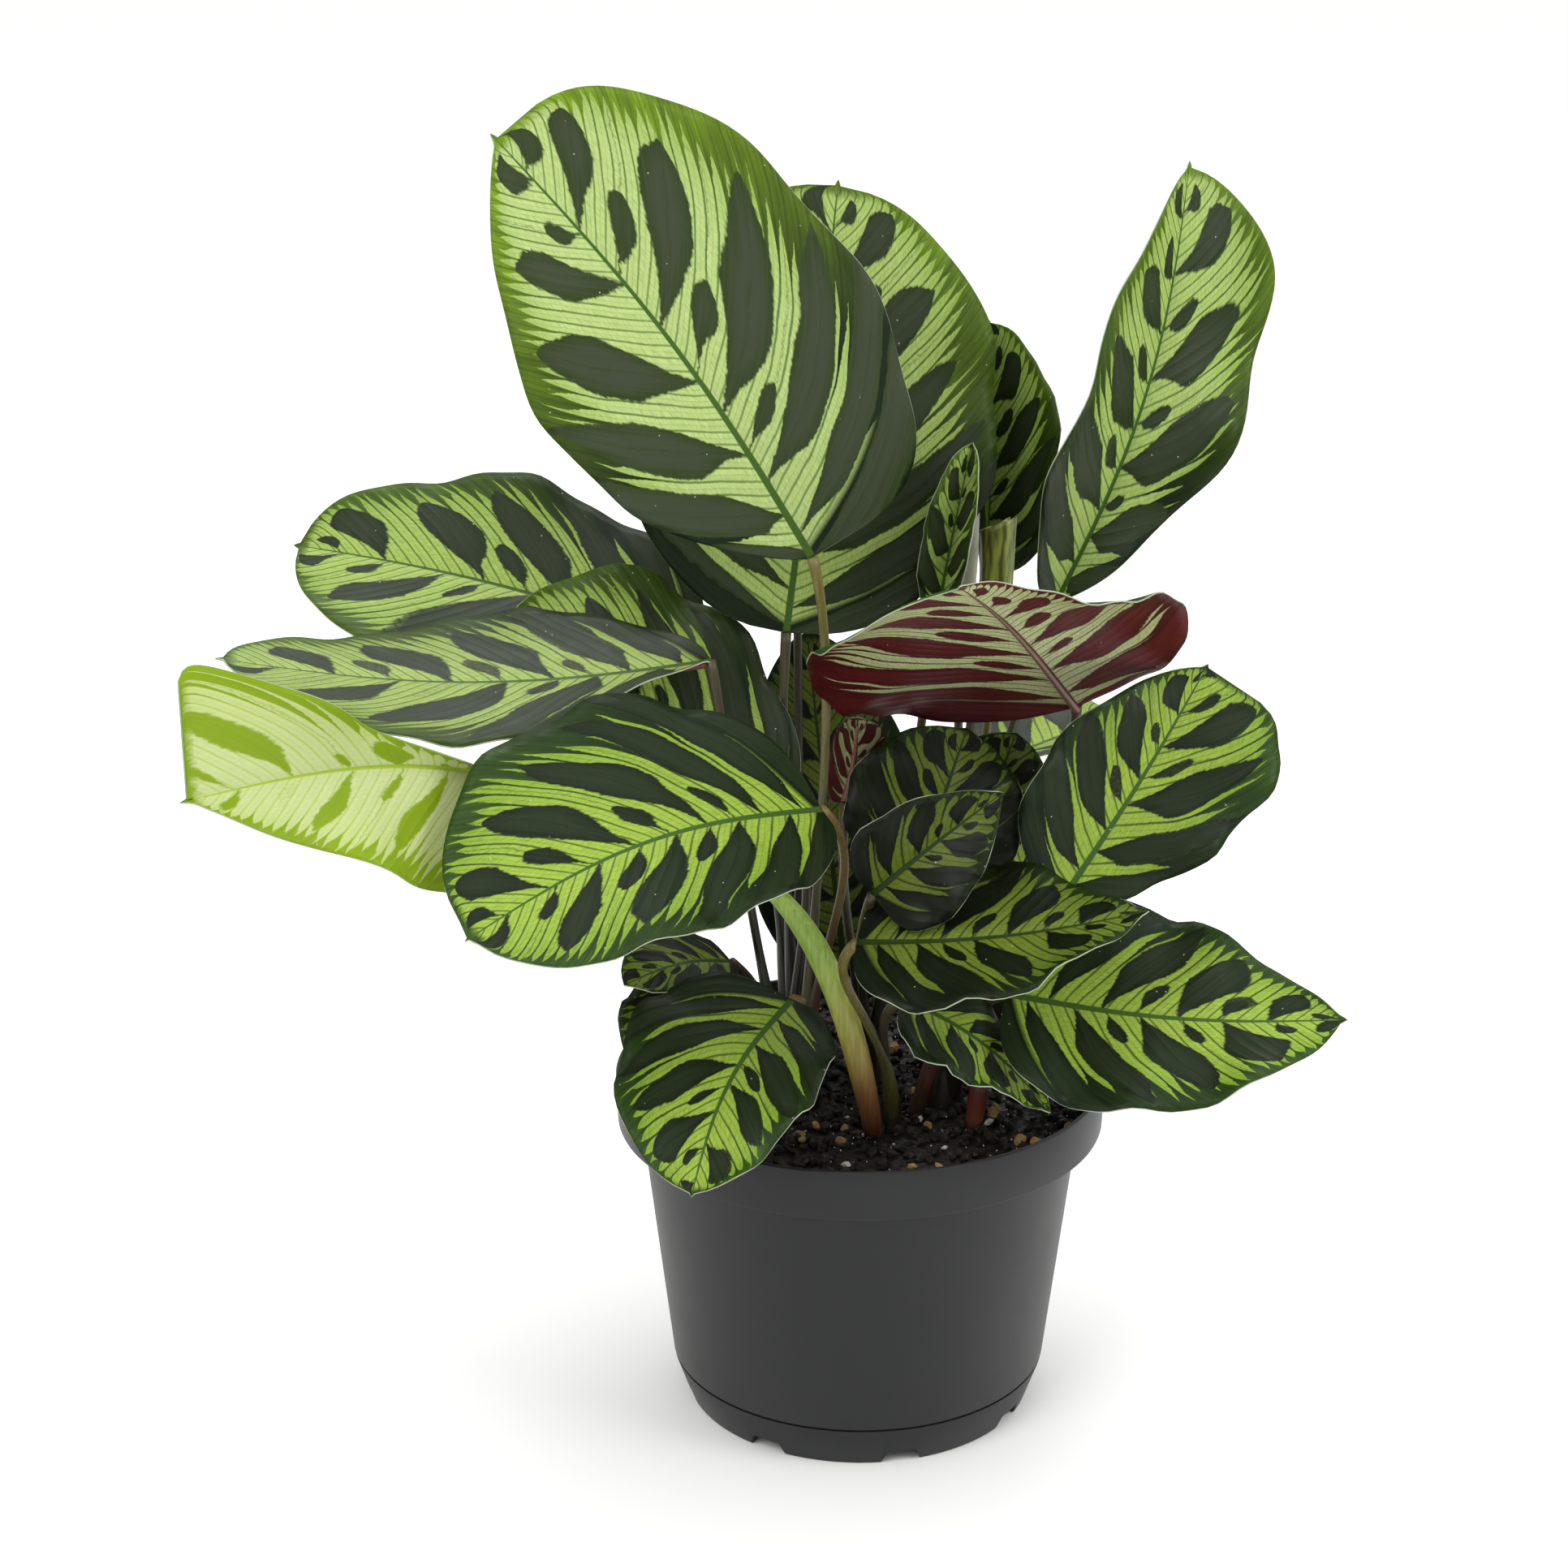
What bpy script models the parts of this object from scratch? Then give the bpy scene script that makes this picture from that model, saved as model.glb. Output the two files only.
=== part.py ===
"""Potted peacock plant: a calathea with patterned leaves in a black nursery pot.

Run with: blender --background --python part.py
Units are metres with +Z up. The pot stands on z = 0 with its axis on the Z axis,
and the plant's front looks along -Y.

The plant is made the way it grows. A pot holds soil, shoots stand in plain holes in
the soil, each shoot carries a few leaf stalks, and each stalk ends at one leaf blade.
Every leaf is one row of the LEAVES table and one formula turns a row into a blade.
"""
import math
import random

import bmesh
import bpy
import numpy as np
from mathutils import Matrix, Vector

MM = 0.001
GAP = 0.3 * MM                  # clearance between solids that touch

# Pot: a six and a half inch nursery pot
RIM_RADIUS = 82.5 * MM
POT_HEIGHT = 118.0 * MM
RIM_HEIGHT = 17.4 * MM          # the upright band round the top
SHOULDER_RADIUS = 74.0 * MM     # body just under the rim band
GROOVE_RADIUS = 64.0 * MM       # body at the seam above the foot
GROOVE_HEIGHT = 15.0 * MM
GROOVE_DEPTH = 0.8 * MM
FOOT_RADIUS = 58.8 * MM
FOOT_RING = 3.2 * MM            # thickness of the foot ring
FLOOR_HEIGHT = 6.8 * MM         # underside of the floor round the drain holes
PAD_RADIUS = 20.0 * MM          # flat middle of the floor, level with the foot ring
WALL = 1.5 * MM
POT_STEPS = 48
NOTCH_COUNT = 8
NOTCH_ANGLE = 13.0              # degrees from the front to the first notch
NOTCH_WIDTH = 13.0 * MM
NOTCH_HEIGHT = 4.6 * MM
DRAIN_COUNT = 6
DRAIN_RADIUS = 4.5 * MM
DRAIN_CIRCLE = 39.0 * MM

# Soil
SOIL_HEIGHT = 108.5 * MM
SOIL_STEPS = 32
SOIL_BUMP = 1.2 * MM
GRAIN_COUNT = 18
HOLE_DEPTH = 18.0 * MM

# Leaves
BLADE = 0.8 * MM                # blade thickness
STALK_TOP = 1.45 * MM           # stalk radius where it meets the blade
KNEE_RADIUS = 1.75 * MM         # the swollen knee just under each blade
KNEE_LENGTH = 13.0 * MM
STALK_GAP = 0.65 * MM           # from the stalk's end to the blade's point
STALK_POINTS = 9
SEED = 7

# Shoots: place on the soil (x, y) in mm, radius at the soil, height above the soil
SHOOTS = {
    "left": dict(at=(-20, -8), radius=6.5, height=20),
    "young": dict(at=(4, -37), radius=3.2, height=3),
    "front": dict(at=(9.5, -28.5), radius=4.0, height=17),
    "right": dict(at=(28, -10), radius=6.5, height=18),
    "back_left": dict(at=(-20, 20), radius=6.5, height=22),
    "back_right": dict(at=(26, 22), radius=6.5, height=22),
    "middle": dict(at=(2, 4), radius=6.0, height=20),
}


def leaf(name, shoot, base, tip, width, face, **more):
    """One leaf: blade ends and width in mm, and the way its upper side looks.

    face is (degrees to the right of the front, degrees above level). arch bows the
    midrib towards the upper side and side bows it to the leaf's right, in mm. cup and
    curl raise the left and right halves, in degrees at the midrib and extra by the
    margin, and roll is more curl at the base that fades to none at the tip. rounded and
    pointed shape the two ends, and wave ruffles the margins.
    """
    row = dict(name=name, shoot=shoot, base=base, tip=tip, width=width, face=face,
               arch=4, side=0, cup=(8, 8), curl=(0, 0), roll=(0, 0), twist=0, skew=0.0,
               rounded=(0.45, 0.45), pointed=(0.55, 0.55), wave=2.5, waves=3.0,
               phase=0.0, ruffle=0.025, rise=0.45, reach=0.3, bend=0.5, lean=(0, 0),
               sheath=(2.6, 0.35))
    row.update(more)
    return row


LEAVES = [
    leaf("leaf_top_left", "left", (-17, -35, 305), (-114, -22, 433), 106, (-5, 12),
         arch=6, side=6, skew=0.13, cup=(6, 6), curl=(4, 4), wave=1.5,
         rounded=(0.8, 0.3), pointed=(0.9, 0.36), lean=(0.03, 0), reach=0.2),
    leaf("leaf_top_middle", "back_left", (-25, 9, 268), (-8, 55, 408), 120, (8, 22),
         arch=6, cup=(6, 6), wave=2, pointed=(0.5, 0.5), lean=(0.0, 0.1)),
    leaf("leaf_top_behind", "back_right", (42, 50, 277), (43, 70, 359), 60, (14, 8),
         cup=(66, 60), wave=3, waves=2),
    leaf("leaf_top_right", "back_right", (64, 30, 272), (106, 55, 414), 68, (-12, 15),
         arch=5, side=9, cup=(62, 2), wave=5, waves=2.6, ruffle=0.09,
         rounded=(0.5, 0.9), pointed=(0.8, 0.55)),
    leaf("leaf_furled_small", "middle", (24, 5, 274), (35, 15, 330), 24, (-15, 10),
         arch=2, cup=(48, 48), wave=1),
    leaf("leaf_arched_over", "right", (70, 4, 244), (24, -120, 319), 114, (173, 60),
         arch=6, side=2, skew=0.15, cup=(12, -2), curl=(-4, -26), wave=4, waves=2,
         rounded=(0.9, 0.45), pointed=(1.3, 0.5)),
    leaf("leaf_turned_away", "middle", (-6, -25, 221), (-2, -16, 247), 28, (160, 5),
         arch=3, cup=(35, 35), wave=0.5),
    leaf("leaf_right", "right", (62, -49, 197), (109, -20, 266), 69, (10, 20),
         arch=6, skew=0.05, cup=(12, 10), curl=(6, 0), wave=3, rounded=(0.5, 0.62),
         pointed=(0.85, 0.24)),
    leaf("leaf_middle", "middle", (16, -32, 196), (33, -18, 244), 58, (0, 25), wave=2,
         skew=-0.05),
    leaf("leaf_small_front", "middle", (2, -61, 203.5), (42, -61, 237), 42, (-10, 25),
         skew=0.05, cup=(38, 10), wave=2, rounded=(0.4, 0.4), pointed=(0.85, 0.85),
         bend=0.3),
    leaf("leaf_front_right", "front", (-3, -68, 190), (85, -90, 209), 64, (10, 62),
         arch=-2, side=2, wave=3, pointed=(1.0, 0.9), lean=(0.12, -0.05)),
    leaf("leaf_low_right", "right", (45, -52, 166), (149, -80, 169), 74, (10, 48),
         arch=0, side=4, cup=(6, 6), wave=4, pointed=(0.9, 0.8), lean=(0.25, 0.05)),
    leaf("leaf_low_centre", "front", (13, -52, 164), (58, -77, 136), 38, (30, 65),
         arch=3, side=-3, skew=0.25, wave=2, pointed=(1.0, 0.9)),
    leaf("leaf_low_shaded", "right", (40, -12, 134), (78, -30, 121), 48, (10, 80),
         arch=3, wave=1),
    leaf("leaf_front_left", "left", (-14, -60, 231), (-119, -125, 213), 94, (-15, 50),
         arch=10, side=4, skew=0.1, cup=(6, 6), curl=(8, 8), wave=2,
         pointed=(0.45, 0.45)),
    leaf("leaf_over_rim", "left", (-23, -52, 164), (-54, -112, 124), 66, (-15, 40),
         arch=6, side=4, skew=0.12, cup=(6, 6), curl=(6, 6), wave=2,
         pointed=(0.6, 0.6), lean=(-0.15, 0)),
    leaf("leaf_rim_left", "left", (-39, -28, 160), (-71, -66, 144), 48, (-20, 60),
         wave=1),
    leaf("leaf_low_left", "left", (-43, -20, 164), (-77, -45, 166), 34, (-20, 65),
         wave=1),
    leaf("leaf_upper_left", "back_left", (-54, 35, 255), (-192, 60, 284), 88, (-10, 60),
         arch=6, wave=3, waves=2.3, rounded=(1.0, 0.45), pointed=(0.6, 0.48)),
    leaf("leaf_left_inner", "left", (-24, -10, 212), (-122, 12, 266), 70, (0, 55),
         arch=6, skew=0.25, cup=(8, 10), curl=(8, 24), wave=3, rounded=(0.95, 0.62),
         pointed=(0.45, 0.45)),
    leaf("leaf_left_flat", "left", (-49, -20, 267), (-202, -44, 275), 88, (0, 77),
         arch=-8, skew=-0.1, cup=(8, 0), curl=(4, 0), wave=4, waves=1.25, phase=-0.19,
         rounded=(1.0, 0.45), pointed=(0.6, 0.6), bend=0.0, lean=(-0.1, -0.3)),
    leaf("leaf_young", "young", (-85, -36, 224), (-198, -134, 259), 80, (-10, 15),
         side=12, twist=50, cup=(22, 20), curl=(0, 15), roll=(0, 40), wave=3,
         rounded=(0.45, 3.0), pointed=(0.8, 0.14), sheath=(4.2, 0.75),
         lean=(-0.04, -0.1), rise=0.85, reach=0.3),
    leaf("leaf_inner_right", "back_right", (36, -4, 200), (50, -1, 237), 38, (5, 20),
         arch=3, wave=2),
    leaf("leaf_back_left", "back_left", (-44, 45, 212), (-128, 115, 200), 90, (-143, 65),
         arch=10, wave=3),
    leaf("leaf_back_middle", "middle", (-4, 50, 130), (-18, 64, 254), 62, (-4, 10),
         arch=4, skew=0.1, wave=3, rounded=(0.35, 0.35)),
    leaf("leaf_back_right", "back_right", (50, 46, 212), (128, 108, 196), 84, (143, 65),
         arch=10, wave=3),
    leaf("leaf_back_tall", "back_left", (-22, 62, 300), (-30, 125, 380), 98, (10, 40),
         arch=8, wave=2),
    leaf("leaf_back_far_left", "back_left", (-50, 35, 232), (-150, 88, 232), 84,
         (-160, 75), arch=8, wave=3),
    leaf("leaf_back_low_right", "back_right", (52, 25, 180), (118, 82, 166), 76,
         (130, 70), arch=8, wave=3),
]


# Spikes: a young leaf still rolled up, and the pale sheath that it came out of
SPIKES = [
    leaf("leaf_rolled", "back_right", (43, 7, 262), (44, 10, 307), 12, (0, 10),
         arch=1, rounded=(0.75, 1.0), pointed=(1.0, 0.6)),
    leaf("leaf_sheath_pale", "back_right", (33, 18, 268), (37, 24, 313), 7, (0, 10),
         arch=1, rounded=(0.9, 1.0), pointed=(0.7, 0.3)),
]

# Old stalks: broken and dry sheaths that stand in the soil on their own
OLD_STALKS = [
    dict(name="old_stalk_red", at=(37, -29), radius=2.8, height=17, lean=(0.1, 0.05)),
    dict(name="old_stalk_brown", at=(18, -20), radius=2.4, height=26, lean=(0.25, -0.1)),
]


def clear_scene():
    for item in list(bpy.data.objects):
        bpy.data.objects.remove(item, do_unlink=True)


def new_collection(name):
    collection = bpy.data.collections.new(name)
    bpy.context.scene.collection.children.link(collection)
    return collection


def material(name, colour, roughness, metallic=0.0):
    made = bpy.data.materials.new(name)
    made.use_nodes = True
    shader = made.node_tree.nodes["Principled BSDF"]
    shader.inputs["Base Color"].default_value = (*colour, 1.0)
    shader.inputs["Roughness"].default_value = roughness
    shader.inputs["Metallic"].default_value = metallic
    return made


def add_object(name, mesh, collection, made_of=None):
    item = bpy.data.objects.new(name, mesh)
    collection.objects.link(item)
    if made_of:
        mesh.materials.clear()
        mesh.materials.append(made_of)
    return item


def mesh_from_bmesh(name, work):
    mesh = bpy.data.meshes.new(name)
    work.to_mesh(mesh)
    work.free()
    return mesh


def as_cutter(item):
    item.hide_render = True
    item.display_type = "WIRE"
    return item


def add_boolean(item, operand, operation="DIFFERENCE", solver="EXACT"):
    step = item.modifiers.new(operation.title(), "BOOLEAN")
    step.operation = operation
    step.solver = solver
    if isinstance(operand, bpy.types.Collection):
        step.operand_type = "COLLECTION"
        step.collection = operand
    else:
        step.object = operand
    return step


def apply_modifiers(item):
    """Swap the object's mesh for the evaluated one, and drop the modifiers."""
    shape = item.evaluated_get(bpy.context.evaluated_depsgraph_get())
    mesh = bpy.data.meshes.new_from_object(shape)
    item.modifiers.clear()
    item.data = mesh
    return item


def turned(name, profile, steps, collection, made_of):
    """A solid turned round Z from (radius, height) points, inner side first."""
    work = bmesh.new()
    points = [work.verts.new((radius, 0.0, height)) for radius, height in profile]
    for one, two in zip(points, points[1:]):
        work.edges.new((one, two))
    item = add_object(name, mesh_from_bmesh(name, work), collection, made_of)
    screw = item.modifiers.new("Turn", "SCREW")
    screw.steps = steps
    screw.render_steps = steps
    screw.use_merge_vertices = True
    screw.merge_threshold = 0.00001
    return item


# Pot

def pot_profile():
    """Middle pad, floor and inner wall up to the rim, then the outer side down to the
    foot ring and back along the underside."""
    ledge = POT_HEIGHT - RIM_HEIGHT
    floor_top = FLOOR_HEIGHT + WALL
    seam = GROOVE_RADIUS
    return [
        (0.0, WALL),
        (PAD_RADIUS - 0.8 * WALL, WALL),
        (PAD_RADIUS + 0.8 * WALL, floor_top),
        (seam - 2.6 * WALL, floor_top),
        (seam - WALL, GROOVE_HEIGHT),
        (SHOULDER_RADIUS - WALL, ledge + WALL),
        (RIM_RADIUS - 1.6 * WALL, ledge + 2 * WALL),
        (RIM_RADIUS - 1.1 * WALL, POT_HEIGHT),
        (RIM_RADIUS - 0.2 * WALL, POT_HEIGHT),
        (RIM_RADIUS, POT_HEIGHT - 0.5 * WALL),
        (RIM_RADIUS - 0.6 * MM, ledge + 0.4 * WALL),
        (RIM_RADIUS - 1.2 * MM, ledge),
        (SHOULDER_RADIUS + 0.8 * MM, ledge),
        (SHOULDER_RADIUS, ledge - 1.0 * MM),
        (seam, GROOVE_HEIGHT + 1.0 * MM),
        (seam - GROOVE_DEPTH, GROOVE_HEIGHT + 0.6 * MM),
        (seam - GROOVE_DEPTH, GROOVE_HEIGHT - 0.4 * MM),
        (seam - 0.2 * MM, GROOVE_HEIGHT - 1.0 * MM),
        (FOOT_RADIUS + 0.3 * MM, 0.8 * MM),
        (FOOT_RADIUS - 0.5 * MM, 0.0),
        (FOOT_RADIUS - FOOT_RING, 0.0),
        (FOOT_RADIUS - FOOT_RING, FLOOR_HEIGHT),
        (PAD_RADIUS + 1.9 * WALL, FLOOR_HEIGHT),
        (PAD_RADIUS + 0.3 * WALL, 0.0),
        (0.0, 0.0),
    ]


def notch_cutter():
    """Tapered blocks that cut the drainage notches in the foot ring."""
    work = bmesh.new()
    length = 12.0 * MM
    for index in range(NOTCH_COUNT):
        turn = math.radians(-90.0 + NOTCH_ANGLE + index * 360.0 / NOTCH_COUNT)
        block = bmesh.ops.create_cube(work, size=1.0)["verts"]
        for vert in block:
            top = vert.co.z > 0
            half = NOTCH_WIDTH * (0.38 if top else 0.55)
            vert.co = Vector((FOOT_RADIUS + vert.co.x * length,
                              math.copysign(half, vert.co.y),
                              NOTCH_HEIGHT if top else -1.0 * MM))
            vert.co.rotate(Matrix.Rotation(turn, 3, "Z"))
    return mesh_from_bmesh("foot_notches", work)


def drain_cutter():
    work = bmesh.new()
    for index in range(DRAIN_COUNT):
        turn = math.radians(index * 360.0 / DRAIN_COUNT)
        place = Matrix.Translation((DRAIN_CIRCLE * math.cos(turn),
                                    DRAIN_CIRCLE * math.sin(turn),
                                    FLOOR_HEIGHT + 0.5 * WALL))
        bmesh.ops.create_cone(work, cap_ends=True, segments=16, radius1=DRAIN_RADIUS,
                              radius2=DRAIN_RADIUS, depth=3 * WALL, matrix=place)
    return mesh_from_bmesh("drain_holes", work)


def make_pot(parts, cutters):
    plastic = material("black_plastic", (0.035, 0.036, 0.038), 0.42)
    pot = turned("pot", pot_profile(), POT_STEPS, parts, plastic)
    for mesh in (notch_cutter(), drain_cutter()):
        add_boolean(pot, as_cutter(add_object(mesh.name, mesh, cutters)))
    return pot


# Soil

def soil_bump(x, y):
    """Height of the uneven surface over its mean level."""
    return SOIL_BUMP * (math.sin(x * 95 + 1.3) * math.cos(y * 110 - 0.4)
                        + 0.6 * math.sin(x * 210 - y * 170))


def soil_profile():
    inner_ledge = POT_HEIGHT - RIM_HEIGHT + 2 * WALL
    seam = GROOVE_RADIUS
    floor_top = FLOOR_HEIGHT + WALL
    top = SOIL_HEIGHT
    rings = [(0.0, top)] + [(r * MM, top) for r in (14, 28, 42, 56, 68)]
    return rings + [
        (RIM_RADIUS - 1.6 * WALL - 2 * GAP, top),
        (RIM_RADIUS - 1.6 * WALL - 2 * GAP, inner_ledge + 3 * GAP),
        (SHOULDER_RADIUS - WALL - 2 * GAP, inner_ledge - WALL + 3 * GAP),
        (seam - WALL - 2 * GAP, GROOVE_HEIGHT + GAP),
        (seam - 2.6 * WALL - 2 * GAP, floor_top + GAP),
        (PAD_RADIUS + 0.8 * WALL - GAP, floor_top + GAP),
        (PAD_RADIUS - 0.8 * WALL - 2 * GAP, WALL + GAP),
        (0.0, WALL + GAP),
    ]


def grain_meshes(collection):
    """Perlite and bark grains, half sunk in the soil, away from the shoots."""
    dice = random.Random(SEED)
    placed = 0
    while placed < GRAIN_COUNT:
        turn = dice.uniform(0, 2 * math.pi)
        reach = (RIM_RADIUS - 12 * MM) * math.sqrt(dice.random())
        x, y = reach * math.cos(turn), reach * math.sin(turn)
        size = dice.uniform(1.6, 3.0) * MM
        if any(math.hypot(x - cx, y - cy) < clear + size for cx, cy, clear in stems()):
            continue
        work = bmesh.new()
        bmesh.ops.create_icosphere(work, subdivisions=1, radius=size)
        stretch = Matrix.Diagonal((dice.uniform(0.8, 1.3), 1.0, dice.uniform(0.6, 0.9)))
        for vert in work.verts:
            vert.co = stretch @ vert.co
            vert.co.rotate(Matrix.Rotation(turn * 3, 3, "Z"))
            vert.co += Vector((x, y, SOIL_HEIGHT + soil_bump(x, y) + 0.2 * size))
        add_object("grain", mesh_from_bmesh("grain", work), collection)
        placed += 1


def stems():
    """Each thing that stands in the soil as (x, y, radius kept clear of it)."""
    for shoot in SHOOTS.values():
        yield shoot["at"][0] * MM, shoot["at"][1] * MM, (shoot["radius"] + 3) * MM
    for stub in OLD_STALKS:
        yield stub["at"][0] * MM, stub["at"][1] * MM, (stub["radius"] + 3) * MM


def hole_cutter():
    """Plain round holes that the shoots and old stalks stand in."""
    work = bmesh.new()
    for x, y, clear in stems():
        radius = clear - 3 * MM + GAP
        depth = 2 * HOLE_DEPTH
        bmesh.ops.create_cone(work, cap_ends=True, segments=14, radius1=radius,
                              radius2=radius, depth=depth,
                              matrix=Matrix.Translation((x, y, SOIL_HEIGHT)))
    return mesh_from_bmesh("stem_holes", work)


def make_soil(parts, cutters):
    earth = material("potting_soil", (0.018, 0.013, 0.010), 0.95)
    soil = apply_modifiers(turned("soil", soil_profile(), SOIL_STEPS, parts, earth))
    edge = RIM_RADIUS - 6 * MM
    for vert in soil.data.vertices:
        x, y, z = vert.co
        if abs(z - SOIL_HEIGHT) < 0.1 * MM and math.hypot(x, y) < edge:
            vert.co.z += soil_bump(x, y)
    grains = new_collection("grains")
    grain_meshes(grains)
    add_boolean(soil, grains, "UNION")
    apply_modifiers(soil)
    for grain in list(grains.objects):
        bpy.data.objects.remove(grain, do_unlink=True)
    bpy.data.collections.remove(grains)
    mesh = hole_cutter()
    add_boolean(soil, as_cutter(add_object(mesh.name, mesh, cutters)))
    return soil


# Leaf blades

def unit(vectors):
    return vectors / np.linalg.norm(vectors, axis=-1, keepdims=True)


def face_vector(face):
    turn, rise = np.radians(face)
    return np.array([np.sin(turn) * np.cos(rise), -np.cos(turn) * np.cos(rise),
                     np.sin(rise)])


def midrib(row, s):
    """Points of the midrib at s from 0 (base) to 1 (tip), in mm."""
    base, tip = np.array(row["base"], float), np.array(row["tip"], float)
    chord = tip - base
    along = unit(chord)
    look = face_vector(row["face"])
    up = unit(look - (look @ along) * along)
    right = np.cross(along, up)
    bow = np.sin(np.pi * s)[..., None]
    return base + s[..., None] * chord + bow * (row["arch"] * up + row["side"] * right), up


def half_width(row, s, t):
    """Distance from the midrib to the margin at s, for the side that t is on, in mm."""
    def choose(pair):
        return np.where(t < 0, pair[0], pair[1])
    a, b = choose(row["rounded"]), choose(row["pointed"])
    peak = (a / (a + b)) ** a * (b / (a + b)) ** b
    outline = s ** a * (1 - s) ** b / peak
    ripple = 1 + row["ruffle"] * np.sin(2 * np.pi * (row["waves"] * s + row["phase"]
                                                     + np.where(t < 0, 0.6, 0.1)))
    lean = 1 + np.sign(t) * row["skew"]
    return row["width"] / 2 * outline * ripple * lean


def blade_points(row, rows, cols):
    """The blade's middle surface as a grid of points, in metres.

    The first index runs from base to tip and the second from left to right margin.
    """
    even = np.arange(rows + 1) / rows
    ease = (1 - np.cos(np.pi * even)) / 2
    s, t = np.meshgrid(0.45 * ease + 0.55 * even, np.linspace(-1, 1, cols + 1),
                       indexing="ij")
    centre, up = midrib(row, s)
    ahead = midrib(row, np.clip(s + 0.001, 0, 1))[0]
    behind = midrib(row, np.clip(s - 0.001, 0, 1))[0]
    along = unit(ahead - behind)
    above = unit(up - (along @ up)[..., None] * along)
    across = np.cross(along, above)
    twist = np.radians(row["twist"]) * (s - 0.5)
    above = above * np.cos(twist)[..., None] + across * np.sin(twist)[..., None]
    across = np.cross(along, above)
    far = np.abs(t)
    cup = np.radians(np.where(t < 0, row["cup"][0], row["cup"][1]))
    curl = np.where(t < 0, row["curl"][0], row["curl"][1])
    curl = np.radians(curl + np.where(t < 0, *row["roll"]) * (1 - s)) + 1e-6
    width = half_width(row, s, t)
    out = width * (np.sin(cup + curl * far) - np.sin(cup)) / curl
    lift = width * (np.cos(cup) - np.cos(cup + curl * far)) / curl
    swell = np.sin(2 * np.pi * (row["waves"] * s + row["phase"]
                                + np.where(t < 0, 0.35, 0.0)))
    lift = lift + row["wave"] * far ** 2 * swell * np.sqrt(np.sin(np.pi * s))
    points = centre + (np.sign(t) * out)[..., None] * across + lift[..., None] * above
    return points * MM


def blade_grid(row):
    """How finely a blade is divided: long blades and waved blades get more rows."""
    length = np.linalg.norm(np.subtract(row["tip"], row["base"]))
    if length > 95:
        return 12, 6
    return (10, 4) if length > 50 else (8, 4)


def make_blade(row, parts, made_of):
    rows, cols = blade_grid(row)
    points = blade_points(row, rows, cols)
    work = bmesh.new()
    bmesh.ops.create_grid(work, x_segments=cols, y_segments=rows, size=1.0)
    work.verts.ensure_lookup_table()
    for vert in work.verts:
        i = round((vert.co.y + 1) / 2 * rows)
        j = round((vert.co.x + 1) / 2 * cols)
        vert.co = Vector(points[i, j])
    bmesh.ops.remove_doubles(work, verts=work.verts, dist=0.01 * MM)
    item = add_object(row["name"], mesh_from_bmesh(row["name"], work), parts, made_of)
    item.data.shade_smooth()
    item.modifiers.new("Split", "TRIANGULATE").quad_method = "FIXED"
    shell = item.modifiers.new("Thickness", "SOLIDIFY")
    shell.thickness = BLADE
    shell.offset = 0.0
    return item


# Stalks and shoots

def stalk_route(row):
    """The stalk's centre line from inside its shoot to the blade, in mm."""
    base = np.array(row["base"], float)
    shoot = SHOOTS[row["shoot"]]
    middle = np.array([*shoot["at"], SOIL_HEIGHT / MM + 0.5])
    outward = base[:2] - middle[:2]
    outward = outward / max(np.hypot(*outward), 1e-6)
    room = max(shoot["radius"] - row["sheath"][0] - 1.0, 0.0)
    foot = middle + np.array([*(outward * room), 0.0])
    start = unit(midrib(row, np.array([0.04]))[0][0] - midrib(row, np.array([0.0]))[0][0])
    straight = unit(base - foot)
    span = np.linalg.norm(base - foot)
    first = unit(np.array([*(outward * 0.12 + np.array(row["lean"])), 1.0]))
    last = unit(row["bend"] * start + (1 - row["bend"]) * straight)
    end = base - last * STALK_GAP / MM
    handles = foot, foot + first * span * row["rise"], end - last * span * row["reach"], end
    t = np.linspace(0, 1, STALK_POINTS)[:, None]
    weights = (1 - t) ** 3, 3 * (1 - t) ** 2 * t, 3 * (1 - t) * t ** 2, t ** 3
    return sum(weight * handle for weight, handle in zip(weights, handles))


def stalk_radii(row, route):
    """Thick in its sheath at the foot, slim above, swollen at the knee."""
    sheath, share = row["sheath"]
    steps = np.linalg.norm(np.diff(route, axis=0), axis=1)
    reach = np.concatenate([[0], np.cumsum(steps)])
    left = reach[-1] - reach
    fade = np.clip(2.5 * (1 - reach / reach[-1] / share), 0, 1)
    radii = STALK_TOP / MM + (sheath - STALK_TOP / MM) * fade
    radii = np.minimum(radii, SHOOTS[row["shoot"]]["radius"] - 0.6 + 0.12 * reach)
    return np.where(left < KNEE_LENGTH / MM, KNEE_RADIUS / MM, radii)


def tube_mesh(name, route, radii):
    """A closed tube along the points, made from a curve."""
    curve = bpy.data.curves.new(name, "CURVE")
    curve.dimensions = "3D"
    curve.bevel_depth = 1.0 * MM
    curve.bevel_resolution = 1
    curve.use_fill_caps = True
    spline = curve.splines.new("POLY")
    spline.points.add(len(route) - 1)
    for point, place, radius in zip(spline.points, route, radii):
        point.co = (*(np.array(place) * MM), 1.0)
        point.radius = radius
    item = bpy.data.objects.new(name, curve)
    bpy.context.scene.collection.objects.link(item)
    shape = item.evaluated_get(bpy.context.evaluated_depsgraph_get())
    mesh = bpy.data.meshes.new_from_object(shape)
    bpy.data.objects.remove(item, do_unlink=True)
    work = bmesh.new()
    work.from_mesh(mesh)
    bmesh.ops.remove_doubles(work, verts=work.verts, dist=0.001 * MM)
    bmesh.ops.recalc_face_normals(work, faces=work.faces)
    work.to_mesh(mesh)
    work.free()
    return mesh


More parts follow.
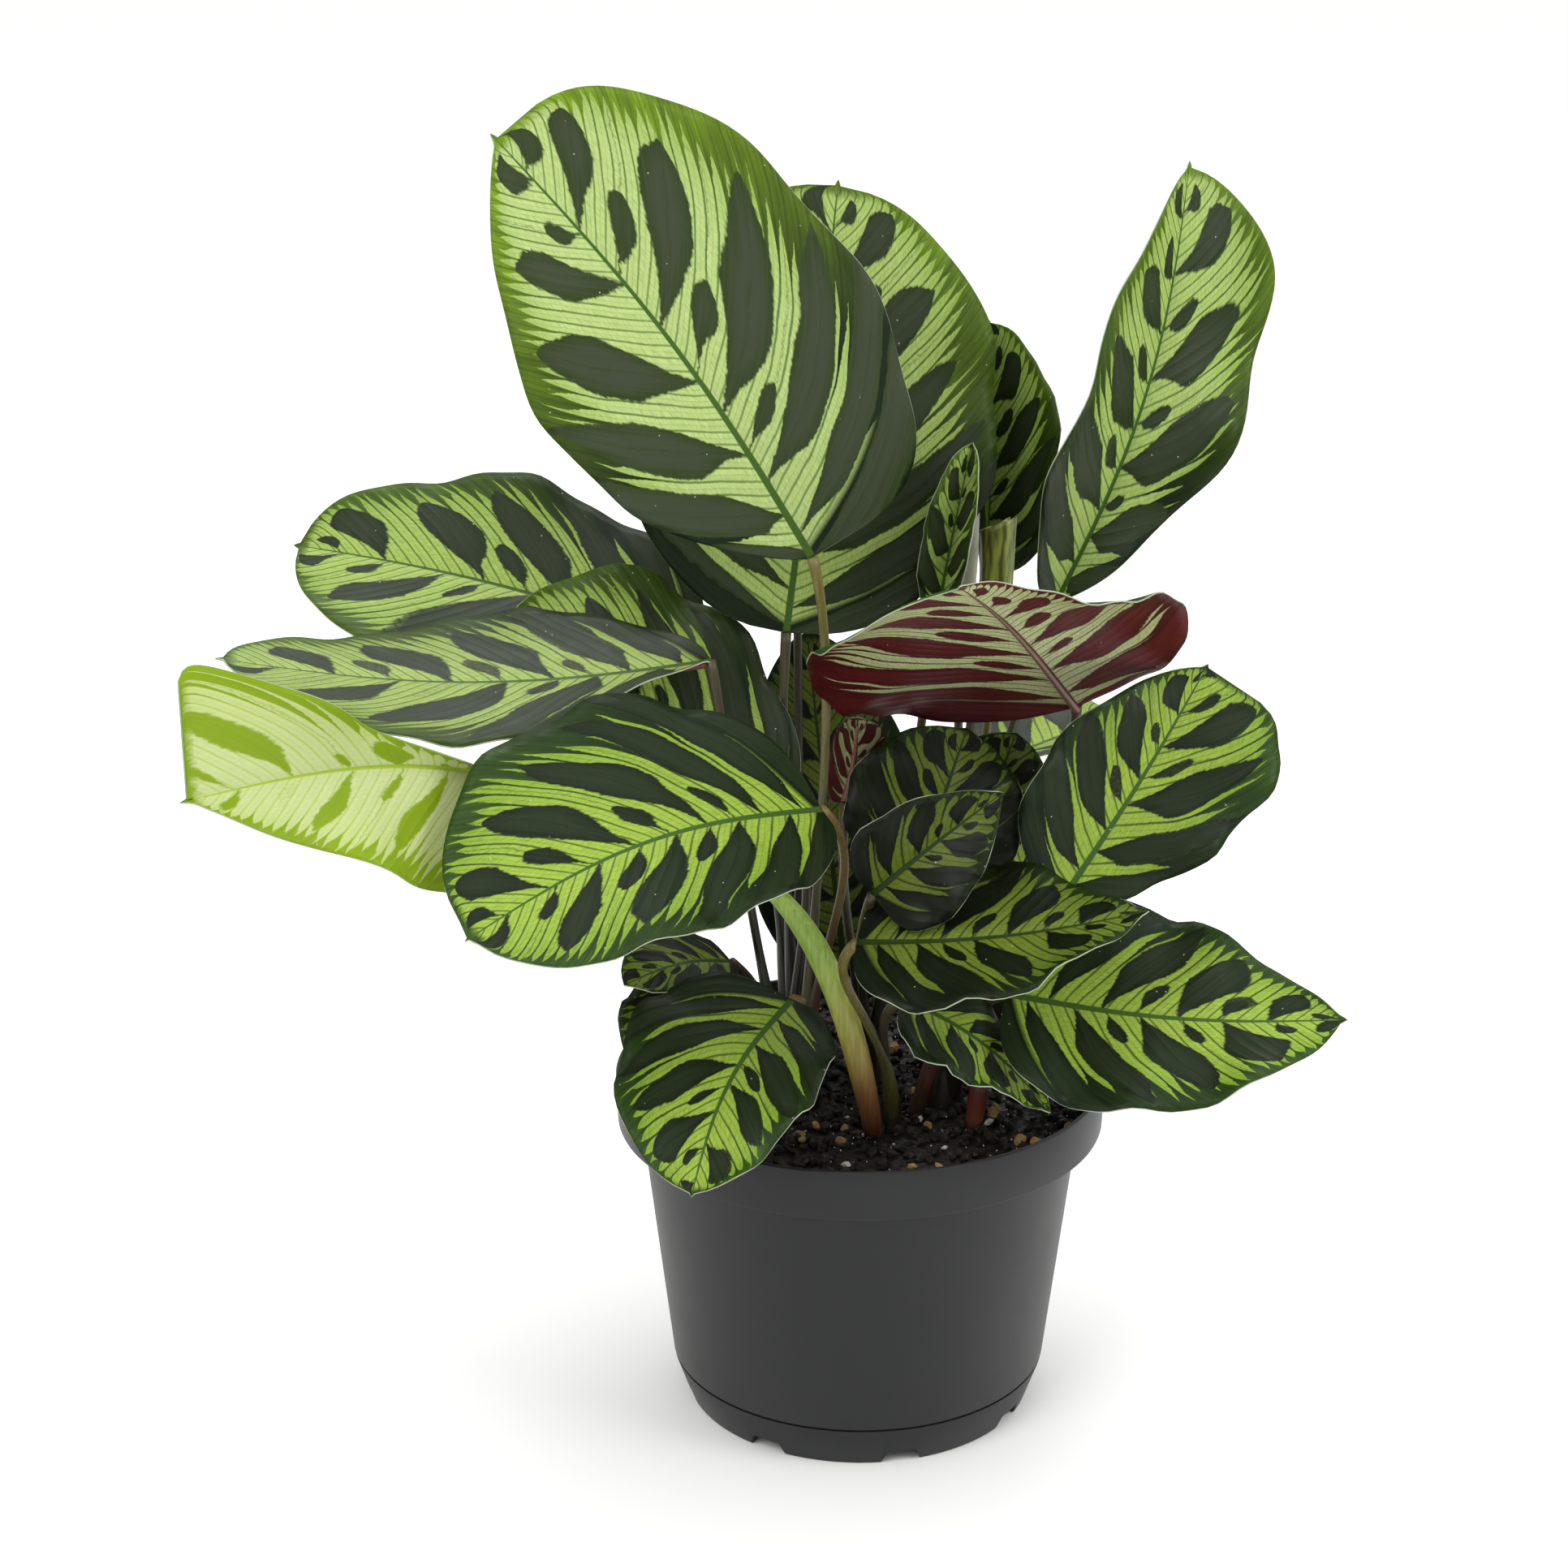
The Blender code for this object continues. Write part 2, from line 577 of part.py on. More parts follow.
def crown_mesh(name, shoot):
    """The stub of clasping sheaths that a shoot's stalks grow from."""
    x, y = shoot["at"]
    radius = shoot["radius"] * MM
    bottom = SOIL_HEIGHT - HOLE_DEPTH + GAP
    shoulder = SOIL_HEIGHT + 1.0 * MM
    top = SOIL_HEIGHT + shoot["height"] * MM
    work = bmesh.new()
    bmesh.ops.create_cone(work, cap_ends=True, segments=12, radius1=radius,
                          radius2=radius, depth=shoulder - bottom,
                          matrix=Matrix.Translation((x * MM, y * MM,
                                                     (shoulder + bottom) / 2)))
    cap = max((face for face in work.faces if len(face.verts) > 4),
              key=lambda face: face.calc_center_median().z)
    raised = bmesh.ops.extrude_discrete_faces(work, faces=[cap])["faces"][0]
    for vert in raised.verts:
        vert.co = Vector((x * MM + (vert.co.x - x * MM) * 0.62,
                          y * MM + (vert.co.y - y * MM) * 0.62, top))
    return mesh_from_bmesh(name, work)


def make_shoot(name, shoot, parts, made_of):
    item = add_object("shoot_" + name, crown_mesh(name, shoot), parts, made_of)
    stalks = new_collection("stalks_" + name)
    for row in LEAVES + SPIKES:
        if row["shoot"] == name:
            route = stalk_route(row)
            add_object("stalk", tube_mesh("stalk", route, stalk_radii(row, route)), stalks)
    add_boolean(item, stalks, "UNION", "MANIFOLD")
    apply_modifiers(item)
    for stalk in list(stalks.objects):
        bpy.data.objects.remove(stalk, do_unlink=True)
    bpy.data.collections.remove(stalks)
    return item


def make_old_stalk(stub, parts, made_of):
    x, y = stub["at"]
    level = SOIL_HEIGHT / MM
    rise = stub["height"]
    lean_x, lean_y = stub["lean"]
    route = [(x, y, level - HOLE_DEPTH / MM + GAP / MM), (x, y, level + 1.5),
             (x + lean_x * rise * 0.5, y + lean_y * rise * 0.5, level + rise * 0.55),
             (x + lean_x * rise, y + lean_y * rise, level + rise)]
    radii = [stub["radius"], stub["radius"], stub["radius"] * 1.25, stub["radius"] * 1.1]
    return add_object(stub["name"], tube_mesh(stub["name"], route, radii), parts, made_of)


def make_spike(row, parts, made_of):
    """A spindle along the midrib: narrow at its stalk, widest in the middle."""
    low, high = row["rounded"][0], row["pointed"][1]
    shape = [0.3, low, 1.0, 1.0, 0.9, high, 0.15]
    along = np.array([0.0, 0.12, 0.35, 0.6, 0.82, 0.95, 1.0])
    route = midrib(row, along)[0]
    radii = [row["width"] / 2 * share for share in shape]
    return add_object(row["name"], tube_mesh(row["name"], route, radii), parts, made_of)


def build():
    clear_scene()
    parts = new_collection("potted_peacock_plant")
    cutters = new_collection("cutters")
    make_pot(parts, cutters)
    make_soil(parts, cutters)
    green = material("leaf_green", (0.10, 0.25, 0.04), 0.38)
    young = material("young_leaf_green", (0.42, 0.60, 0.12), 0.38)
    stalk = material("stalk_brown_green", (0.16, 0.10, 0.04), 0.5)
    old = material("old_stalk_red", (0.20, 0.05, 0.03), 0.6)
    for row in LEAVES:
        make_blade(row, parts, young if row["name"] == "leaf_young" else green)
    make_spike(SPIKES[0], parts, material("rolled_leaf_olive", (0.16, 0.20, 0.03), 0.4))
    make_spike(SPIKES[1], parts, material("sheath_pale", (0.60, 0.60, 0.52), 0.5))
    for name, shoot in SHOOTS.items():
        make_shoot(name, shoot, parts, stalk)
    for stub in OLD_STALKS:
        make_old_stalk(stub, parts, old)


build()
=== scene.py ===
# %% [markdown]
# # A peacock plant in its nursery pot
# The CAD part fixes where every leaf, stalk, the soil and the pot are, and how big.
# This lesson gives each of them the fine shape and the finish that the eye expects.

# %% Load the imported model
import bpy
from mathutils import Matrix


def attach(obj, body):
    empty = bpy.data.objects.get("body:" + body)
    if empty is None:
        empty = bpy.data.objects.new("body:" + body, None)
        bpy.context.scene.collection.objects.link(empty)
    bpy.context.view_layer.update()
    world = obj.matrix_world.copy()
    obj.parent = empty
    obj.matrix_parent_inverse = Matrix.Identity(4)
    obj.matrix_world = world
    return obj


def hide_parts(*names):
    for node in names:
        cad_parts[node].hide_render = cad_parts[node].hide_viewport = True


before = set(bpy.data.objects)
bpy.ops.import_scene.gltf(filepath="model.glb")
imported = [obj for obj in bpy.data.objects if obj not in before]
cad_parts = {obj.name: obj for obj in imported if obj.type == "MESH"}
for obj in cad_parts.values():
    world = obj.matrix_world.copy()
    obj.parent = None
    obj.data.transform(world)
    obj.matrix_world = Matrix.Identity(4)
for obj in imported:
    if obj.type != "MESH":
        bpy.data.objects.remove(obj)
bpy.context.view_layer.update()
print("CAD nodes:", len(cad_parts))

# %% [markdown]
# ## Colours
# Every colour below is the sRGB hex value that a colour picker shows. Shaders work in
# linear light, so one function turns the hex value into a linear colour.

# %% Linear colour
import math
import random

import bmesh
import bpy
import numpy as np
from mathutils import Matrix, Vector

MM = 0.001


def linear(code):
    """An sRGB hex colour as linear red, green, blue and alpha."""
    parts = [int(code[i:i + 2], 16) / 255 for i in (1, 3, 5)]
    return (*[p / 12.92 if p <= 0.04045 else ((p + 0.055) / 1.055) ** 2.4 for p in parts],
            1.0)


print("mid green in linear light:", [round(v, 3) for v in linear("#8fc63f")])

# %% [markdown]
# ## Shader nodes
# Shader trees are long, so one function adds a node, sets it up and links it in one
# call. A second one starts a finish with the Principled shader that every one here uses.
# The first finish is the studio's matt white paper, which mirrors next to nothing.

# %% Nodes and finishes
def node(tree, kind, inputs=(), out=0, **settings):
    """Add a node, or take one that is there, and give back one of its outputs.

    settings are its properties. inputs are values or other nodes' outputs, in the order
    of its sockets or by their names.
    """
    made = kind if isinstance(kind, bpy.types.Node) else tree.nodes.new(kind)
    for name, value in settings.items():
        setattr(made, name, value)
    for socket, value in inputs.items() if isinstance(inputs, dict) else enumerate(inputs):
        if isinstance(value, bpy.types.NodeSocket):
            tree.links.new(value, made.inputs[socket])
        else:
            made.inputs[socket].default_value = value
    return made.outputs[out] if made.outputs else None


def new_finish(name):
    """An empty material, its node tree and its Principled shader."""
    made = bpy.data.materials.new(name)
    made.use_nodes = True
    return made, made.node_tree, made.node_tree.nodes["Principled BSDF"]


paper, tree, shader = new_finish("white_studio_paper")
node(tree, shader, {"Base Color": linear("#f6f6f5"), "Roughness": 0.9})
print("first finish:", paper.name)

# %% [markdown]
# ## Camera
# The camera stands a metre in front of the plant and looks down at 18.9 degrees with a
# long lens, so the pot's sides stay nearly straight.

# %% Camera
FRAME_PIXELS = 1932             # the picture is square
FOCAL_PIXELS = 4000.0
SENSOR_WIDTH = 36.0             # mm
LOOK_DOWN = 18.9                # degrees

camera = bpy.data.objects.new("camera", bpy.data.cameras.new("camera"))
camera.data.sensor_width = SENSOR_WIDTH
camera.data.lens = SENSOR_WIDTH * FOCAL_PIXELS / FRAME_PIXELS
camera.location = (-0.0257, -1.008, 0.564)
camera.rotation_euler = (math.radians(90.0 - LOOK_DOWN), 0.0, 0.0)
bpy.context.scene.collection.objects.link(camera)
bpy.context.scene.camera = camera
print("camera lens:", round(camera.data.lens, 2), "mm")

# %% [markdown]
# ## Floor and light
# The floor is matt white paper, plain and pale, and reaches past the top of the
# picture. A sky that is brightest overhead and three large soft lamps give the even
# light of a white studio, with few hard shadows.

# %% Floor and lamps
SIDE_GLOW, TOP_GLOW = 0.42, 1.42    # brightness of the sky at the horizon and overhead
LOOK_AT = (0, 0, 0.22)              # the middle of the plant

bpy.ops.mesh.primitive_plane_add(size=30.0, location=(0, 0, -0.0001))
floor = bpy.context.object
floor.name = "floor"
floor.data.materials.append(paper)

sky = bpy.data.worlds.new("studio_white")
sky.use_nodes = True
tree = sky.node_tree
way = node(tree, "ShaderNodeTexCoord", out="Generated")
height = node(tree, "ShaderNodeSeparateXYZ", [way], "Z")
glow = node(tree, "ShaderNodeMapRange", [height, 0.0, 1.0, SIDE_GLOW, TOP_GLOW])
node(tree, tree.nodes["Background"], {"Color": linear("#ffffff"), "Strength": glow})
bpy.context.scene.world = sky
bpy.context.scene.view_settings.view_transform = "Standard"

for name, place, size, power in (("soft_front_left", (-1.1, -1.5, 1.7), 1.2, 20.0),
                                 ("soft_right", (1.5, -0.7, 1.2), 0.9, 12.0),
                                 ("soft_top_back", (0.1, 0.9, 1.6), 1.0, 8.0)):
    light = bpy.data.lights.new(name, "AREA")
    light.size, light.energy = size, power
    lamp = bpy.data.objects.new(name, light)
    lamp.location = place
    aim = Vector(LOOK_AT) - lamp.location
    lamp.rotation_euler = aim.to_track_quat("-Z", "Y").to_euler()
    bpy.context.scene.collection.objects.link(lamp)
    print(name, "is", round(aim.length, 2), "m away")

# %% [markdown]
# ## Shoots and rows
# The plant comes up as a few shoots, each with leaves of its own. A leaf is one row: the
# ends of its midrib, its width, and which way its upper side looks. Most of the other
# values are alike in most leaves, so one function fills them in.

# %% Shoots, and one row for a leaf
SOIL_LEVEL = 108.5              # mm
SHOOTS = {
    "left": dict(at=(-20, -8), radius=6.5, height=20),
    "young": dict(at=(4, -37), radius=3.2, height=3),
    "front": dict(at=(9.5, -28.5), radius=4.0, height=17),
    "right": dict(at=(28, -10), radius=6.5, height=18),
    "back_left": dict(at=(-20, 20), radius=6.5, height=22),
    "back_right": dict(at=(26, 22), radius=6.5, height=22),
    "middle": dict(at=(2, 4), radius=6.0, height=20),
}


def leaf(name, shoot, base, tip, width, face, **more):
    """One leaf: blade ends and width in mm, and the way its upper side looks.

    face is (degrees to the right of the front, degrees above level). arch bows the
    midrib towards the upper side and side bows it to the leaf's right, in mm. cup and
    curl raise the left and right halves, in degrees at the midrib and extra by the
    margin, and roll is more curl at the base that fades to none at the tip. rounded and
    pointed shape the two ends, and wave ruffles the margins.
    """
    row = dict(name=name, shoot=shoot, base=base, tip=tip, width=width, face=face,
               arch=4, side=0, cup=(8, 8), curl=(0, 0), roll=(0, 0), twist=0, skew=0.0,
               rounded=(0.45, 0.45), pointed=(0.55, 0.55), wave=2.5, waves=3.0,
               phase=0.0, ruffle=0.025, rise=0.45, reach=0.3, bend=0.5, lean=(0, 0),
               sheath=(2.6, 0.35))
    row.update(more)
    return row


print("shoots:", list(SHOOTS))

# %% [markdown]
# ## Where the leaves are
# The CAD part uses the same rows, so a leaf drawn here lies inside its solid. Working
# from one table keeps all the leaves alike in kind and different in pose.

# %% The leaves' rows
LEAVES = [
    leaf("leaf_top_left", "left", (-17, -35, 305), (-114, -22, 433), 106, (-5, 12),
         arch=6, side=6, skew=0.13, cup=(6, 6), curl=(4, 4), wave=1.5,
         rounded=(0.8, 0.3), pointed=(0.9, 0.36), lean=(0.03, 0), reach=0.2),
    leaf("leaf_top_middle", "back_left", (-25, 9, 268), (-8, 55, 408), 120, (8, 22),
         arch=6, cup=(6, 6), wave=2, pointed=(0.5, 0.5), lean=(0.0, 0.1)),
    leaf("leaf_top_behind", "back_right", (42, 50, 277), (43, 70, 359), 60, (14, 8),
         cup=(66, 60), wave=3, waves=2),
    leaf("leaf_top_right", "back_right", (64, 30, 272), (106, 55, 414), 68, (-12, 15),
         arch=5, side=9, cup=(62, 2), wave=5, waves=2.6, ruffle=0.09,
         rounded=(0.5, 0.9), pointed=(0.8, 0.55)),
    leaf("leaf_furled_small", "middle", (24, 5, 274), (35, 15, 330), 24, (-15, 10),
         arch=2, cup=(48, 48), wave=1),
    leaf("leaf_arched_over", "right", (70, 4, 244), (24, -120, 319), 114, (173, 60),
         arch=6, side=2, skew=0.15, cup=(12, -2), curl=(-4, -26), wave=4, waves=2,
         rounded=(0.9, 0.45), pointed=(1.3, 0.5)),
    leaf("leaf_turned_away", "middle", (-6, -25, 221), (-2, -16, 247), 28, (160, 5),
         arch=3, cup=(35, 35), wave=0.5),
    leaf("leaf_right", "right", (62, -49, 197), (109, -20, 266), 69, (10, 20),
         arch=6, skew=0.05, cup=(12, 10), curl=(6, 0), wave=3, rounded=(0.5, 0.62),
         pointed=(0.85, 0.24)),
    leaf("leaf_middle", "middle", (16, -32, 196), (33, -18, 244), 58, (0, 25), wave=2,
         skew=-0.05),
    leaf("leaf_small_front", "middle", (2, -61, 203.5), (42, -61, 237), 42, (-10, 25),
         skew=0.05, cup=(38, 10), wave=2, rounded=(0.4, 0.4), pointed=(0.85, 0.85),
         bend=0.3),
    leaf("leaf_front_right", "front", (-3, -68, 190), (85, -90, 209), 64, (10, 62),
         arch=-2, side=2, wave=3, pointed=(1.0, 0.9), lean=(0.12, -0.05)),
    leaf("leaf_low_right", "right", (45, -52, 166), (149, -80, 169), 74, (10, 48),
         arch=0, side=4, cup=(6, 6), wave=4, pointed=(0.9, 0.8), lean=(0.25, 0.05)),
    leaf("leaf_low_centre", "front", (13, -52, 164), (58, -77, 136), 38, (30, 65),
         arch=3, side=-3, skew=0.25, wave=2, pointed=(1.0, 0.9)),
    leaf("leaf_low_shaded", "right", (40, -12, 134), (78, -30, 121), 48, (10, 80),
         arch=3, wave=1),
    leaf("leaf_front_left", "left", (-14, -60, 231), (-119, -125, 213), 94, (-15, 50),
         arch=10, side=4, skew=0.1, cup=(6, 6), curl=(8, 8), wave=2,
         pointed=(0.45, 0.45)),
    leaf("leaf_over_rim", "left", (-23, -52, 164), (-54, -112, 124), 66, (-15, 40),
         arch=6, side=4, skew=0.12, cup=(6, 6), curl=(6, 6), wave=2,
         pointed=(0.6, 0.6), lean=(-0.15, 0)),
    leaf("leaf_rim_left", "left", (-39, -28, 160), (-71, -66, 144), 48, (-20, 60),
         wave=1),
    leaf("leaf_low_left", "left", (-43, -20, 164), (-77, -45, 166), 34, (-20, 65),
         wave=1),
    leaf("leaf_upper_left", "back_left", (-54, 35, 255), (-192, 60, 284), 88, (-10, 60),
         arch=6, wave=3, waves=2.3, rounded=(1.0, 0.45), pointed=(0.6, 0.48)),
    leaf("leaf_left_inner", "left", (-24, -10, 212), (-122, 12, 266), 70, (0, 55),
         arch=6, skew=0.25, cup=(8, 10), curl=(8, 24), wave=3, rounded=(0.95, 0.62),
         pointed=(0.45, 0.45)),
    leaf("leaf_left_flat", "left", (-49, -20, 267), (-202, -44, 275), 88, (0, 77),
         arch=-8, skew=-0.1, cup=(8, 0), curl=(4, 0), wave=4, waves=1.25, phase=-0.19,
         rounded=(1.0, 0.45), pointed=(0.6, 0.6), bend=0.0, lean=(-0.1, -0.3)),
    leaf("leaf_young", "young", (-85, -36, 224), (-198, -134, 259), 80, (-10, 15),
         side=12, twist=50, cup=(22, 20), curl=(0, 15), roll=(0, 40), wave=3,
         rounded=(0.45, 3.0), pointed=(0.8, 0.14), sheath=(4.2, 0.75),
         lean=(-0.04, -0.1), rise=0.85, reach=0.3),
    leaf("leaf_inner_right", "back_right", (36, -4, 200), (50, -1, 237), 38, (5, 20),
         arch=3, wave=2),
    leaf("leaf_back_left", "back_left", (-44, 45, 212), (-128, 115, 200), 90, (-143, 65),
         arch=10, wave=3),
    leaf("leaf_back_middle", "middle", (-4, 50, 130), (-18, 64, 254), 62, (-4, 10),
         arch=4, skew=0.1, wave=3, rounded=(0.35, 0.35)),
    leaf("leaf_back_right", "back_right", (50, 46, 212), (128, 108, 196), 84, (143, 65),
         arch=10, wave=3),
    leaf("leaf_back_tall", "back_left", (-22, 62, 300), (-30, 125, 380), 98, (10, 40),
         arch=8, wave=2),
    leaf("leaf_back_far_left", "back_left", (-50, 35, 232), (-150, 88, 232), 84,
         (-160, 75), arch=8, wave=3),
    leaf("leaf_back_low_right", "back_right", (52, 25, 180), (118, 82, 166), 76,
         (130, 70), arch=8, wave=3),
]

print("leaves:", len(LEAVES))

# %% [markdown]
# ## Spikes and old stalks
# A leaf that is still rolled and a pale sheath stand up as two spikes. They have stalks
# like the leaves do, so they take the same kind of row. Old stalks only need a place.

# %% Rows of the spikes and the old stalks
SPIKES = [
    leaf("leaf_rolled", "back_right", (43, 7, 262), (44, 10, 307), 12, (0, 10),
         arch=1, rounded=(0.75, 1.0), pointed=(1.0, 0.6)),
    leaf("leaf_sheath_pale", "back_right", (33, 18, 268), (37, 24, 313), 7, (0, 10),
         arch=1, rounded=(0.9, 1.0), pointed=(0.7, 0.3)),
]

OLD_STALKS = [
    dict(name="old_stalk_red", at=(37, -29), radius=2.8, height=17, lean=(0.1, 0.05)),
    dict(name="old_stalk_brown", at=(18, -20), radius=2.4, height=26, lean=(0.25, -0.1)),
]
print("spikes:", len(SPIKES), "old stalks:", len(OLD_STALKS))

# %% [markdown]
# ## The shape of a blade
# A leaf blade is a thin sheet with a bowed midrib, two halves that rise from it, and
# ruffled margins. It could be sculpted, but a formula keeps every leaf true to its row
# and lets the pattern know where it is on the leaf. These are the formula's parts: the
# midrib's bow, the outline of each half, and the directions at each place.

# %% Midrib, outline and directions
def unit(vectors):
    return vectors / np.linalg.norm(vectors, axis=-1, keepdims=True)


def face_vector(face):
    turn, rise = np.radians(face)
    return np.array([np.sin(turn) * np.cos(rise), -np.cos(turn) * np.cos(rise),
                     np.sin(rise)])


def midrib(row, s):
    """Points of the midrib at s from 0 (base) to 1 (tip), in mm, and its upper side."""
    base, tip = np.array(row["base"], float), np.array(row["tip"], float)
    chord = tip - base
    along = unit(chord)
    look = face_vector(row["face"])
    up = unit(look - (look @ along) * along)
    right = np.cross(along, up)
    bow = np.sin(np.pi * s)[..., None]
    return base + s[..., None] * chord + bow * (row["arch"] * up + row["side"] * right), up


def half_width(row, s, t):
    """Distance from the midrib to the margin at s, for the side that t is on, in mm."""
    def choose(pair):
        return np.where(t < 0, pair[0], pair[1])
    a, b = choose(row["rounded"]), choose(row["pointed"])
    peak = (a / (a + b)) ** a * (b / (a + b)) ** b
    outline = s ** a * (1 - s) ** b / peak
    ripple = 1 + row["ruffle"] * np.sin(2 * np.pi * (row["waves"] * s + row["phase"]
                                                     + np.where(t < 0, 0.6, 0.1)))
    lean = 1 + np.sign(t) * row["skew"]
    return row["width"] / 2 * outline * ripple * lean


def blade_frame(row, s, t):
    """Centre of the midrib, and the directions across and above it at each (s, t)."""
    centre, up = midrib(row, s)
    ahead = midrib(row, np.clip(s + 0.001, 0, 1))[0]
    behind = midrib(row, np.clip(s - 0.001, 0, 1))[0]
    along = unit(ahead - behind)
    above = unit(up - (along @ up)[..., None] * along)
    across = np.cross(along, above)
    twist = np.radians(row["twist"]) * (s - 0.5)
    above = above * np.cos(twist)[..., None] + across * np.sin(twist)[..., None]
    return centre, np.cross(along, above), above


print("first leaf is", round(float(np.linalg.norm(np.subtract(
    LEAVES[0]["tip"], LEAVES[0]["base"])))), "mm long")

# %% [markdown]
# ## The surface of a blade
# Each half of a blade curls like an arc, and the margin waves up and down. Fine shapes
# that the CAD part leaves out are added here: a small pointed tip, a crimp along the
# margin and a groove over the midrib.

# %% The blade's surface
TIP_HALF = 1.4                  # mm, half the width of the small tip's foot
TIP_SHARE = 0.025               # the tip's share of the leaf's length
CRIMP = 0.75                    # mm up and down
GROOVE_DEPTH = 0.7              # mm at the base, less towards the tip
GROOVE_HALF = 1.5               # mm


def groove_depth(s):
    return GROOVE_DEPTH * (1 - 0.7 * s)


def blade_points(row, s, t, dice):
    """Points of the sheet's middle surface, in mm."""
    centre, across, above = blade_frame(row, s, t)
    width = np.maximum(half_width(row, np.clip(s / 0.984, 0, 1), t),
                       TIP_HALF * np.clip((1 - s) / TIP_SHARE, 0, 1) ** 0.8)
    far = np.abs(t)
    cup = np.radians(np.where(t < 0, *row["cup"]))
    curl = np.where(t < 0, *row["curl"]) + np.where(t < 0, *row["roll"]) * (1 - s)
    curl = np.radians(curl) + 1e-6      # an arc needs some curl
    out = width * (np.sin(cup + curl * far) - np.sin(cup)) / curl
    lift = width * (np.cos(cup) - np.cos(cup + curl * far)) / curl
    fade = np.sqrt(np.clip(np.sin(np.pi * s), 0, 1))
    swell = np.sin(2 * np.pi * (row["waves"] * s + row["phase"]
                                + np.where(t < 0, 0.35, 0.0)))
    lift = lift + row["wave"] * far ** 2 * swell * fade
    crimp = np.sin(2 * np.pi * (dice.uniform(6, 8) * s + np.where(t < 0, 0.4, 0.0)))
    lift = lift + CRIMP * crimp * far ** 5 * fade
    lift = lift - groove_depth(s) * np.exp(-(far * width / GROOVE_HALF) ** 2) * fade
    return centre + (np.sign(t) * out)[..., None] * across + lift[..., None] * above


middle_line = blade_points(LEAVES[0], np.linspace(0, 1, 5), np.zeros(5), random.Random(1))
print("height along the first midrib:", [round(float(z)) for z in middle_line[:, 2]], "mm")

# %% [markdown]
# ## Where the pattern is
# Each side vein of a peacock plant leaves the midrib at about 45 degrees and sweeps
# towards the tip. Every dark oval lies along such a vein. So each point of a blade
# stores how far it is from the midrib, where its vein leaves the midrib, and a running
# number that is whole in the middle of a large oval. The ovals stand closer together
# near the base, which a power of the distance along the midrib gives.

# %% Pattern coordinates
# how pale each leaf's ground is: 0 for a yellow-green one, 1 for a nearly white one
TONES = {"leaf_top_left": 0.95, "leaf_top_middle": 0.6, "leaf_top_right": 0.6,
         "leaf_top_behind": 0.4, "leaf_left_flat": 0.45, "leaf_upper_left": 0.35,
         "leaf_left_inner": 0.3, "leaf_furled_small": 0.5, "leaf_young": 0.5}
USUAL_TONE = 0.08
# how much painted shade darkens each leaf, mostly leaves that lie in the shade of the
# others: 0 for none, 1 for the darkest
PAINTED_SHADES = {"leaf_front_right": 0.75, "leaf_small_front": 0.95, "leaf_middle": 0.85,
          "leaf_inner_right": 0.85, "leaf_low_shaded": 0.9, "leaf_low_left": 0.6,
          "leaf_rim_left": 0.45, "leaf_low_centre": 0.08, "leaf_back_middle": 1.0,
          "leaf_right": 0.15, "leaf_left_flat": 0.25, "leaf_turned_away": 0.8}
LONG_LEAF, SHORT_LEAF = 110, 70         # mm; a longer leaf has more ovals


def blade_marks(row, s, t):
    """Values at each (s, t) that the leaf shaders read."""
    spine = midrib(row, s[:, 0])[0]
    steps = np.linalg.norm(np.diff(spine, axis=0), axis=1)
    reach = np.concatenate([[0], np.cumsum(steps)])
    length = reach[-1]
    away = np.abs(t) * half_width(row, s, t)
    bow = 0.72 * away + 0.35 * away ** 3 / (row["width"] / 2) ** 2
    # veins near the tip sweep further forward than those near the base
    vein = reach[:, None] - bow
    for _ in range(8):
        vein = reach[:, None] - bow * (0.7 + 1.15 * np.clip(vein / length, 0, 1))
    start = vein / length
    ovals = 5.9 if length > LONG_LEAF else 5.2 if length > SHORT_LEAF else 4.4
    number = ovals * np.clip(start, 0, None) ** 0.6 - 1 + 4 * np.clip(start, None, 0)
    whole_leaf = {"tone": TONES.get(row["name"], USUAL_TONE),
                  # shade is how much painted shade darkens the whole leaf
                  "shade": PAINTED_SHADES.get(row["name"], 0.0),
                  "leaf_seed": float(sum(map(ord, row["name"])) % 97)}
    return {"share": t, "away": np.sign(t) * away, "vein": vein, "start": start,
            "number": number, "along": s,
            **{name: np.full_like(s, one) for name, one in whole_leaf.items()}}


def give_marks(mesh, marks):
    """Store each value on the mesh's points as a float attribute."""
    for name, values in marks.items():
        layer = mesh.attributes.new(name, "FLOAT", "POINT")
        layer.data.foreach_set("value", np.asarray(values, np.float32).ravel())


marks = blade_marks(LEAVES[0], *np.meshgrid(np.linspace(0, 1, 30), np.linspace(-1, 1, 9),
                                            indexing="ij"))
print("ovals on one side of the first leaf:", int(marks["number"].max()) + 1)

# %% [markdown]
# ## The pattern's node group
# The pale ground, the dark ovals and the dark margin with its comb of fingers are
# printed by the leaf's own cells, so they are colour and not shape. One node group
# turns the stored values into masks, and the upper side, the maroon underside and the
# young leaf all use it with their own colours. Two noises that are stretched along the
# veins shake its edges: a long one bends the ovals, and a short one gives the saw teeth
# of about 1 mm that the cells leave there.

# %% The group, its values and its noises
MASKS = ("Oval", "Painted Sheen", "Margin", "Vein", "Midrib", "Weave", "Rib")
pattern = bpy.data.node_groups.new("peacock_pattern", "ShaderNodeTree")
for name in MASKS:
    pattern.interface.new_socket(name, in_out="OUTPUT", socket_type="NodeSocketFloat")
for name, start in (("Oval Width", 1.0), ("Margin Start", 0.0)):
    socket = pattern.interface.new_socket(name, in_out="INPUT",
                                          socket_type="NodeSocketFloat")
    socket.default_value = start
given = pattern.nodes.new("NodeGroupInput").outputs
stored = {name: node(pattern, "ShaderNodeAttribute", out="Fac", attribute_name=name)
          for name in ("share", "away", "vein", "start", "number", "along", "leaf_seed")}
far = node(pattern, "ShaderNodeMath", [stored["share"]], operation="ABSOLUTE")
